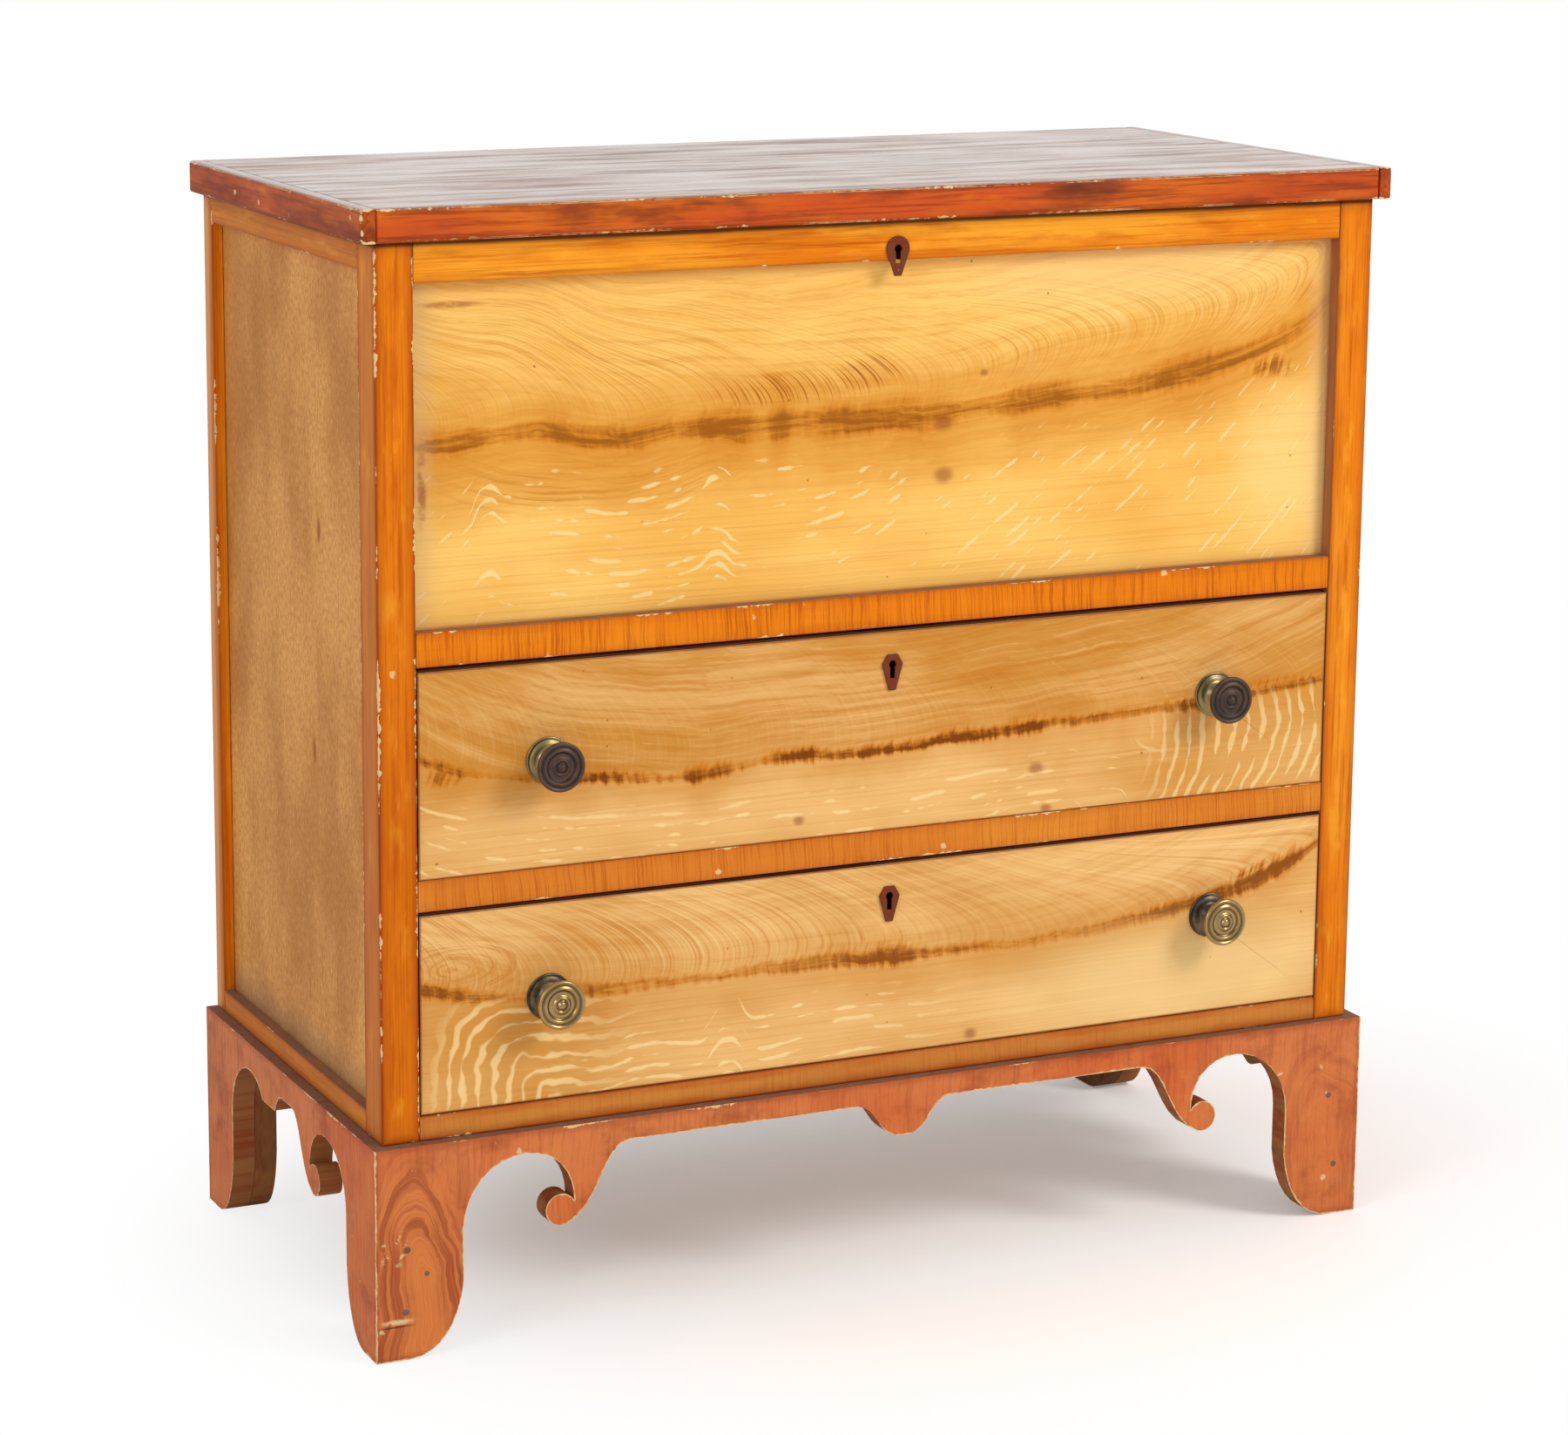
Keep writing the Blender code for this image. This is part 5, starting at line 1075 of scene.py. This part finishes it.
def outline_spots(board, out, below):
    """Lines of places along the outline of a board's outer face, each with the way into the face."""

    def near(c):
        return tuple(round(v, 5) for v in c)

    flat = frame["nodes"][board].data
    far = max(v.co.dot(out) for v in flat.vertices)
    sides = {}
    for face in flat.polygons:
        corners = [flat.vertices[i].co for i in face.vertices]
        if all(abs(c.dot(out) - far) < SAME_PLACE for c in corners):
            for a, b in zip(corners, corners[1:] + corners[:1]):
                sides[near(a), near(b)] = (a.copy(), b.copy())
    outline = {}
    for (start, end), (a, b) in sides.items():
        if (end, start) not in sides and min(a.z, b.z) < below:
            outline[start] = a, b
    reached = {near(b) for _, b in outline.values()}
    starts = [key for key in outline if key not in reached] or list(outline)[:1]
    for key in starts:
        spots = []
        while key in outline:
            a, b = outline.pop(key)
            inward = out.cross((b - a).normalized())
            if spots:
                spots[-1] = (a, (spots[-1][1] + inward).normalized())
            else:
                spots = [(a, inward)]
            count = max(1, math.ceil((b - a).length / SLIVER_STEP))
            spots += [(a.lerp(b, (k + 1) / count), inward) for k in range(count)]
            key = near(b)
        yield spots


def worn_arris(board, out, seed, widest, amount, below=math.inf):
    """Bare slivers where paint has chipped back from a board's outline, each a closed body."""
    runs = []
    for spots in outline_spots(board, out, below):
        runs.append([])
        for p, inward in spots:
            stretch = noise.noise(p * 26 + Vector((seed, 0, 0)))
            ragged = noise.noise(p * 240 + Vector((0, seed, 0)))
            width = widest * min(1.0, max(0.0, (stretch + amount) * 1.3)) * (0.5 + 0.6 * ragged)
            if width < LEAST_SLIVER:
                runs.append([])
                continue
            rim = p + out * SLIVER_LIFT - inward * SLIVER_LAP
            under = out * (0.3 * width + 0.0002)
            edge = p + inward * width + out * SLIVER_LIFT
            runs[-1].append((edge, rim, rim - under, edge - under))
    shape = bmesh.new()
    for run in runs:
        if len(run) < 2:
            continue
        rings = [[shape.verts.new(corner) for corner in ring] for ring in run]
        shape.faces.new(rings[0])
        shape.faces.new(rings[-1])
        for before, after in zip(rings, rings[1:]):
            for i in range(4):
                shape.faces.new((before[i - 1], before[i], after[i], after[i - 1]))
    bmesh.ops.recalc_face_normals(shape, faces=shape.faces)
    return shape


# A knob's rose and neck, then its head, as radius and distance in front of the drawer.
ROSE = (
    (0.0, 0.0002), (0.0205, 0.0002), (0.0210, 0.0007), (0.0210, 0.0013), (0.0206, 0.0019), (0.0198, 0.0021),
    (0.0188, 0.0019), (0.0180, 0.0021), (0.0172, 0.0029), (0.0160, 0.0036), (0.0138, 0.0040), (0.0122, 0.0046),
    (0.0110, 0.0058), (0.0098, 0.0072), (0.0084, 0.0090), (0.0077, 0.0112), (0.0076, 0.0136),
)
HEAD = (
    (0.0080, 0.0158), (0.0092, 0.0178), (0.0116, 0.0200), (0.0150, 0.0222), (0.0184, 0.0244), (0.0208, 0.0266),
    (0.0219, 0.0284), (0.0222, 0.0298), (0.0220, 0.0310), (0.0213, 0.0319), (0.0204, 0.0321), (0.0195, 0.0317),
    (0.0187, 0.0311), (0.0178, 0.0309), (0.0169, 0.0312), (0.0161, 0.0320), (0.0152, 0.0325), (0.0143, 0.0321),
    (0.0136, 0.0312), (0.0128, 0.0304), (0.0112, 0.0300), (0.0096, 0.0301), (0.0084, 0.0306), (0.0076, 0.0316),
    (0.0069, 0.0322), (0.0062, 0.0323), (0.0056, 0.0318), (0.0050, 0.0312), (0.0043, 0.0312), (0.0037, 0.0319),
    (0.0030, 0.0330), (0.0021, 0.0337), (0.0010, 0.0339), (0.0, 0.0340),
)
# The dark grooves round the head, as radius and half width.
GROOVES = ((0.0179, 0.0018), (0.0128, 0.0016), (0.0049, 0.0011))
# The bolt behind the knob, and its nut's near and far faces and half width.
SHANK = ((0.0, 0.0), (0.0027, 0.0), (0.0027, -0.0274), (0.0023, -0.0278), (0.0, -0.0278))
NUT = (0.0213, 0.0263, 0.007)
NUT_CHAMFER = 0.0009
BOLT_STEPS = 24


def square_nut(shape, middle, near, far, half):
    """Adds a square nut with its corners taken off to a shape."""
    made = bmesh.ops.create_cube(shape, size=1.0)["verts"]
    bmesh.ops.scale(shape, vec=(half * 2, far - near, half * 2), verts=made)
    bmesh.ops.translate(shape, vec=(middle.x, middle.y + (near + far) / 2, middle.z), verts=made)
    edges = {edge for v in made for edge in v.link_edges}
    bmesh.ops.bevel(shape, geom=list(edges), offset=NUT_CHAMFER, segments=2, affect="EDGES")


class CHEST_OT_fronts(bpy.types.Operator):
    """Paint the front panel and the two drawer fronts as oak"""

    bl_idname = "chest.fronts"
    bl_label = "Fronts"

    def execute(self, context):
        t, sizes = context.scene.chest_colours, context.scene.chest_sizes
        name = "front_panel"
        box = (OPENING_LEFT, OPENING_RIGHT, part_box("middle_rail")[1].z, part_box("top_front_rail")[0].z)
        dress(name, painted_front(name, t, FRONT_PANEL, t.ochre, t.ochre_deep, box, 2.0, 0.35))
        drawers = (("upper_drawer_front", UPPER_DRAWER, 31.0), ("lower_drawer_front", LOWER_DRAWER, 57.0))
        for name, look, seed in drawers:
            low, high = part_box(name)
            box = (low.x, high.x, low.z, high.z)
            dress(name, painted_front(name, t, look, t.tan, t.tan_deep, box, seed, 0.75))
            soften(name, sizes.arris * 0.7)
        return {"FINISHED"}


class CHEST_OT_frame(bpy.types.Operator):
    """Varnish the posts and rails amber"""

    bl_idname = "chest.frame"
    bl_label = "Posts and rails"

    def execute(self, context):
        t, sizes = context.scene.chest_colours, context.scene.chest_sizes
        post = {"light": 0.3, "red": 0.6}
        front_post = {**post, "bare_behind": 0.03}
        back_post = {**post, "chips": 0.6, "pink": True}
        top_rail = {"light": 0.3, "red": 0.4, "chips": 0.2}
        low_rail = {"light": 0.2, "red": 0.6, "chips": 0.3, "dusty": True}
        well_rail = {"red": 0.4, "bare_behind": 0.017}
        looks = {
            "front_post_left": {
                **front_post, "seed": 3.0, "light": 0.0, "red": 0.9, "chips": 0.85, "deep": 0.28,
            },
            "front_post_right": {**front_post, "seed": 7.0, "chips": 0.4, "deep": 0.12},
            "back_post_left": {**back_post, "seed": 11.0},
            "back_post_right": {**back_post, "seed": 13.0},
            "top_front_rail": {**well_rail, "seed": 17.0, "light": 0.5, "chips": 0.3},
            "middle_rail": {
                **well_rail, "seed": 19.0, "light": 0.28, "chips": 0.35, "cross": 0.8, "dusty": True,
            },
            "drawer_divider": {
                "bare_behind": 0.012, "seed": 23.0, "light": 0.4, "red": 0.3, "chips": 0.35,
                "cross": 0.6, "brown": 0.28,
            },
            "bottom_front_rail": {
                "bare_behind": 0.012, "seed": 29.0, "light": 0.3, "red": 0.9, "chips": 0.4,
                "cross": 0.3, "brown": 0.55,
            },
            "side_top_rail_left": {**top_rail, "seed": 37.0},
            "side_top_rail_right": {**top_rail, "seed": 41.0},
            "side_bottom_rail_left": {**low_rail, "seed": 43.0},
            "side_bottom_rail_right": {**low_rail, "seed": 47.0},
        }
        for name, look in looks.items():
            dress(name, amber_board(name, t, sizes, **look))
            soften(name, sizes.arris)
        return {"FINISHED"}


class CHEST_OT_side_panels(bpy.types.Operator):
    """Paint the side panels tan"""

    bl_idname = "chest.side_panels"
    bl_label = "Side panels"

    def execute(self, context):
        t = context.scene.chest_colours
        panels = (
            ("side_panel_left", 4.0, ((-0.040, 0.708), (-0.022, 0.504))),
            ("side_panel_right", 9.0, ((0.061, 0.632),)),
        )
        for name, seed, knots in panels:
            dress(name, khaki_panel(name, t, seed, knots))
        return {"FINISHED"}


class CHEST_OT_base(bpy.types.Operator):
    """Paint the bracket base russet, with ovals on its feet"""

    bl_idname = "chest.base"
    bl_label = "Bracket base"

    def execute(self, context):
        t, sizes = context.scene.chest_colours, context.scene.chest_sizes
        front_feet = (((-0.464, 0.080), (0.019, 0.042), 0.95), ((0.462, 0.090), (0.022, 0.040), 0.3))
        bare = bare_wood("bare_arris", t)
        aprons = (
            ("apron_front", 6.0, front_feet, 0.4, (0, -1, 0), 3.0, 0.62),
            ("apron_left", 16.0, (), 0.6, (-1, 0, 0), 8.0, 0.5),
            ("apron_right", 26.0, (), 0.6, (1, 0, 0), 13.0, 0.45),
        )
        for name, seed, feet, chips, out, wear_seed, amount in aprons:
            dress(name, russet_board(name, t, sizes, seed, feet, chips))
            soften(name, sizes.arris, clamp=True)
            below_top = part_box(name)[1].z - 0.001
            shape = worn_arris(name, Vector(out), wear_seed, sizes.wear, amount, below_top)
            new_piece(name + "_wear", shape, (bare,), "case", "red_base")
        # The right block gets more painted shade than the left.
        for name, grime_and_shade in (("rear_foot_block_left", 0.15), ("rear_foot_block_right", 0.45)):
            dress(name, sawn_block(name, t, grime_and_shade))
            soften(name, sizes.arris)
        return {"FINISHED"}


class CHEST_OT_lid(bpy.types.Operator):
    """Finish the lid's worn board and its red edge strips"""

    bl_idname = "chest.lid"
    bl_label = "Lid"

    def execute(self, context):
        t, sizes = context.scene.chest_colours, context.scene.chest_sizes
        dress("lid_board", lid_top("lid_board", t))
        soften("lid_board", sizes.arris * 0.6)
        for name, seed in (("lid_front_edge", 5.0), ("lid_left_edge", 15.0), ("lid_right_edge", 25.0)):
            dress(name, lid_strip(name, t, sizes, seed))
            soften(name, sizes.arris * 0.6)
        bare = bare_wood("bare_lid_arris", t)
        wears = (
            ("lid_front_edge", "_top_wear", (0, -1, 1), 21.0, 0.4),
            ("lid_front_edge", "_low_wear", (0, -1, -1), 24.0, 0.12),
            ("lid_left_edge", "_wear", (-1, 0, 1), 28.0, 0.3),
            ("lid_right_edge", "_wear", (1, 0, 1), 33.0, 0.3),
        )
        for name, ending, out, seed, amount in wears:
            shape = worn_arris(name, Vector(out).normalized(), seed, sizes.wear / 2, amount)
            new_piece(name + ending, shape, (bare,), "lid", "red_edge")
        return {"FINISHED"}


class CHEST_OT_knobs(bpy.types.Operator):
    """Turn the four brass knobs, with their roses, bolts and nuts"""

    bl_idname = "chest.knobs"
    bl_label = "Knobs"

    def execute(self, context):
        t, sizes = context.scene.chest_colours, context.scene.chest_sizes
        brasses = {
            "upper": (
                "dark_brass", (t.brass_rose, t.iron, 0.24, 1.0), (t.brass_dark, t.lid_black, 0.36, 0.35),
            ),
            "lower": (
                "bright_brass", (t.iron, t.brass_rose, 0.26, 0.9), (t.brass_bright, t.brass_rose, 0.16, 1.0),
            ),
        }
        for drawer, (slot, rose_look, head_look) in brasses.items():
            low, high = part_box(drawer + "_knob_left")
            rings = (abs(low.x + high.x) / 2, (low.z + high.z) / 2, GROOVES)
            rose = old_metal("brass_rose_" + drawer, *rose_look)
            head = old_metal("brass_head_" + drawer, *head_look, rings)
            for side in ("left", "right"):
                node = f"{drawer}_knob_{side}"
                low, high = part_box(node)
                middle = Vector(((low.x + high.x) / 2, FRONT, (low.z + high.z) / 2))
                shape = turned(ROSE + HEAD, middle, sizes.knob_steps, len(ROSE))
                knob = new_piece(f"{drawer}_turned_knob_{side}", shape, (rose, head), drawer + "_drawer", slot)
                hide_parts(node)
                shape = turned(SHANK, middle, BOLT_STEPS)
                square_nut(shape, middle, *NUT)
                new_piece(f"{drawer}_knob_bolt_{side}", shape, (rose,), drawer + "_drawer", slot)
        return {"FINISHED"}


class CHEST_OT_plates(bpy.types.Operator):
    """Paint the keyhole plates red"""

    bl_idname = "chest.plates"
    bl_label = "Keyhole plates"

    def execute(self, context):
        t, sizes = context.scene.chest_colours, context.scene.chest_sizes
        for name in ("lid_escutcheon", "upper_escutcheon", "lower_escutcheon"):
            dress(name, old_metal("plate_" + name, t.plate_red, t.rust, 0.42, 0.0, specular=0.15))
            soften(name, sizes.fine_arris)
        return {"FINISHED"}


class CHEST_OT_ironwork(bpy.types.Operator):
    """Darken the hinges, locks and bolts"""

    bl_idname = "chest.ironwork"
    bl_label = "Ironwork"

    def execute(self, context):
        t, sizes = context.scene.chest_colours, context.scene.chest_sizes
        iron = old_metal("old_iron", t.iron, t.rust, 0.42, 0.7)
        for name in frame["nodes"]:
            if name.startswith("hinge_") or name.endswith(("_lock_case", "_lock_bolt", "_link_plate")):
                dress(name, iron)
                soften(name, sizes.fine_arris * 0.7)
        return {"FINISHED"}


class CHEST_OT_insides(bpy.types.Operator):
    """Leave the boards inside and behind as bare pine"""

    bl_idname = "chest.insides"
    bl_label = "Bare boards"

    def execute(self, context):
        t, sizes = context.scene.chest_colours, context.scene.chest_sizes
        names = ["back_top_rail", "back_board", "well_floor"]
        for drawer in ("upper", "lower"):
            names += [f"{drawer}_runner_{side}" for side in ("left", "right")]
            names += [f"{drawer}_drawer_{part}" for part in ("side_left", "side_right", "back", "bottom")]
        for name in names:
            dress(name, pine_board(name, t, 4 if name == "back_board" else 1))
            soften(name, sizes.fine_arris)
        return {"FINISHED"}


# A nail head's outline, as a share of its radius and a distance in front of the board.
NAIL = (
    (0.0, -0.0008), (0.75, -0.0008), (1.0, 0.0), (0.97, 0.0002), (0.8, 0.00045), (0.45, 0.0006), (0.0, 0.00065),
)
# The nails in the front feet: places across and up, and the head's size as a share of the nail radius.
FOOT_NAILS = (
    (-0.474, 0.101, 1.0), (-0.456, 0.077, 0.8), (-0.476, 0.044, 1.0), (0.470, 0.120, 1.0), (0.478, 0.050, 1.0),
)
# The heights of the nails at the ends of the back's planks, and of the row along its top.
BACK_NAILS = (0.215, 0.355, 0.405, 0.54, 0.59, 0.725, 0.775, 0.905)
TOP_ROW = 0.922
BACK_INSET = 0.008  # how far the outer nails stand in from the back's ends
PIN_RISE = 0.0052  # how far the pin stands above the foot of the plate
PIN_RADIUS = 0.0012


class CHEST_OT_nails(bpy.types.Operator):
    """Set nail heads in the feet and the back, and a pin in the lid's keyhole plate"""

    bl_idname = "chest.nails"
    bl_label = "Nails and pin"

    def execute(self, context):
        t, sizes = context.scene.chest_colours, context.scene.chest_sizes
        iron = old_metal("nail_iron", t.dust, t.iron, 0.45, 0.5)
        radius = sizes.nail_radius
        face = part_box("apron_front")[0].y
        heads = [
            (f"foot_nail_{number}", (x, face, z), radius * size, 1, 18)
            for number, (x, z, size) in enumerate(FOOT_NAILS)
        ]
        low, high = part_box("back_board")
        across = [low.x + BACK_INSET + (high.x - low.x - 2 * BACK_INSET) * k / 6 for k in range(7)]
        places = [(x, z) for x in (across[0], across[-1]) for z in BACK_NAILS]
        places += [(x, TOP_ROW) for x in across[1:-1]]
        heads += [
            (f"back_nail_{number}", (x, high.y, z), radius * 0.9, -1, 14)
            for number, (x, z) in enumerate(places)
        ]
        low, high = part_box("lid_escutcheon")
        heads.append(("plate_pin", ((low.x + high.x) / 2, low.y, low.z + PIN_RISE), PIN_RADIUS, 1, 18))
        for name, middle, size, way, steps in heads:
            profile = [(share * size, ahead * way) for share, ahead in NAIL]
            new_piece(name, turned(profile, Vector(middle), steps), (iron,), "case", "old_iron")
        return {"FINISHED"}


# ---------------------------------------------------------------- stage

WHITE = (1.0, 1.0, 1.0)
FLOOR_HALF = 30.0
FLOOR_GAP = 0.0005  # the floor lies this far under the feet
LAMPS_AIM = (0.0, 0.0, 0.5)
SENSOR_WIDTH = 36.0
VIEW_END = 200.0


def soft_lamp(name, place, size, power, tone):
    """A round soft lamp, turned to the chest's middle."""
    data = bpy.data.lights.new(name, "AREA")
    data.shape = "DISK"
    data.size = size
    data.energy = power
    data.color = tone
    lamp = bpy.data.objects.new(name, data)
    bpy.context.scene.collection.objects.link(lamp)
    lamp.location = place
    lamp.rotation_euler = (Vector(LAMPS_AIM) - Vector(place)).to_track_quat("-Z", "Y").to_euler()


class CHEST_OT_stage(bpy.types.Operator):
    """Lay the floor, hang the lamps and stand the camera"""

    bl_idname = "chest.stage"
    bl_label = "Stage"

    def execute(self, context):
        s = context.scene.chest_stage
        self.floor()
        self.room(s.room)
        soft_lamp("key_lamp", (2.3, -2.9, 2.9), 1.6, s.key, (1.0, 0.98, 0.95))
        soft_lamp("fill_lamp", (-3.0, -1.6, 1.8), 1.8, s.fill, (0.97, 0.98, 1.0))
        self.camera(s)
        context.scene.view_settings.view_transform = "Standard"
        return {"FINISHED"}

    def floor(self):
        """A wide pale floor under the chest's feet, which fades to white away from the chest."""
        level = CAD_BOX[0][2] - FLOOR_GAP
        corners = [(x * FLOOR_HALF, y * FLOOR_HALF, level) for x, y in ((-1, -1), (1, -1), (1, 1), (-1, 1))]
        mesh = bpy.data.meshes.new("floor")
        mesh.from_pydata(corners, [], [(0, 1, 2, 3)])
        floor = bpy.data.objects.new("floor", mesh)
        bpy.context.scene.collection.objects.link(floor)
        f = Finish("white_floor")
        x, y, _ = f.place()
        far = f.step(f.away(x - 0.2, (y + 0.02) / 0.85), 0.36, 0.9)
        seen = f.node("LightPath", out=("Is Camera Ray",))
        paint = f.node("BsdfDiffuse", None, {"Color": (0.93, 0.915, 0.91)})
        glow = f.node("Emission", None, {"Color": WHITE, "Strength": 0.19})
        white = f.node("Emission", None, {"Color": WHITE, "Strength": 1.0})
        both = f.node("AddShader", None, {0: paint, 1: glow})
        fading = f.node("MixShader", None, {0: far, 1: both, 2: white})
        shown = f.node("MixShader", None, {0: seen, 1: paint, 2: fading})
        f.node("OutputMaterial", None, {0: shown}, ())
        mesh.materials.append(f.made)

    def room(self, strength):
        """A white backdrop, with a dimmer room on the camera's side."""
        f = Finish("room", "worlds")
        bpy.context.scene.world = f.made
        behind = f.step(f.parted("Generated")[1], -0.6, 0.5)
        rays = ("Is Camera Ray", "Is Glossy Ray", "Is Transmission Ray")
        camera, glossy, through = f.node("LightPath", out=rays)
        seen = f.most(camera, f.most(glossy, through) * behind)
        lit = f.node("Background", None, {"Color": WHITE, "Strength": strength})
        white = f.node("Background", None, {"Color": WHITE, "Strength": 1.0})
        shown = f.node("MixShader", None, {0: seen, 1: lit, 2: white})
        f.node("OutputWorld", None, {0: shown}, ())

    def camera(self, s):
        """The camera at the viewing angle of the photograph."""
        level = math.cos(s.dip)
        ahead = Vector((math.sin(s.turn) * level, math.cos(s.turn) * level, -math.sin(s.dip)))
        right = Vector((math.cos(s.turn), -math.sin(s.turn), 0.0))
        up = right.cross(ahead)
        across = right * math.cos(s.roll) + up * math.sin(s.roll)
        upward = up * math.cos(s.roll) - right * math.sin(s.roll)
        data = bpy.data.cameras.new("camera")
        data.sensor_width = SENSOR_WIDTH
        data.lens = s.lens
        data.shift_x, data.shift_y = s.shift
        data.clip_end = VIEW_END
        camera = bpy.data.objects.new("camera", data)
        bpy.context.scene.collection.objects.link(camera)
        axes = Matrix((across, upward, -ahead)).transposed()
        camera.matrix_world = Matrix.Translation(s.camera) @ axes.to_4x4()
        bpy.context.scene.camera = camera


# ---------------------------------------------------------------- add-on


OPERATORS = (
    CHEST_OT_fronts, CHEST_OT_frame, CHEST_OT_side_panels, CHEST_OT_base, CHEST_OT_lid, CHEST_OT_knobs,
    CHEST_OT_plates, CHEST_OT_ironwork, CHEST_OT_insides, CHEST_OT_nails, CHEST_OT_stage,
)


class CHEST_PT_sidebar(bpy.types.Panel):
    """The chest's finishes and pieces, in the order they are made"""

    bl_idname = "CHEST_PT_sidebar"
    bl_label = "Mule chest"
    bl_space_type = "VIEW_3D"
    bl_region_type = "UI"
    bl_category = "Chest"

    def draw(self, context):
        for operator in OPERATORS:
            self.layout.operator(operator.bl_idname)
        for group in (context.scene.chest_sizes, context.scene.chest_stage, context.scene.chest_colours):
            box = self.layout.box()
            for name in group.__annotations__:
                box.prop(group, name)


CLASSES = (ChestColours, ChestSizes, ChestStage, *OPERATORS, CHEST_PT_sidebar)


def register():
    for made in CLASSES:
        bpy.utils.register_class(made)
    bpy.types.Scene.chest_colours = PointerProperty(type=ChestColours)
    bpy.types.Scene.chest_sizes = PointerProperty(type=ChestSizes)
    bpy.types.Scene.chest_stage = PointerProperty(type=ChestStage)


def unregister():
    del bpy.types.Scene.chest_stage
    del bpy.types.Scene.chest_sizes
    del bpy.types.Scene.chest_colours
    for made in reversed(CLASSES):
        bpy.utils.unregister_class(made)


def main():
    register()
    for operator in OPERATORS:
        getattr(bpy.ops.chest, operator.bl_idname.split(".")[1])()
    bpy.context.view_layer.update()


if __name__ == "__main__":
    main()
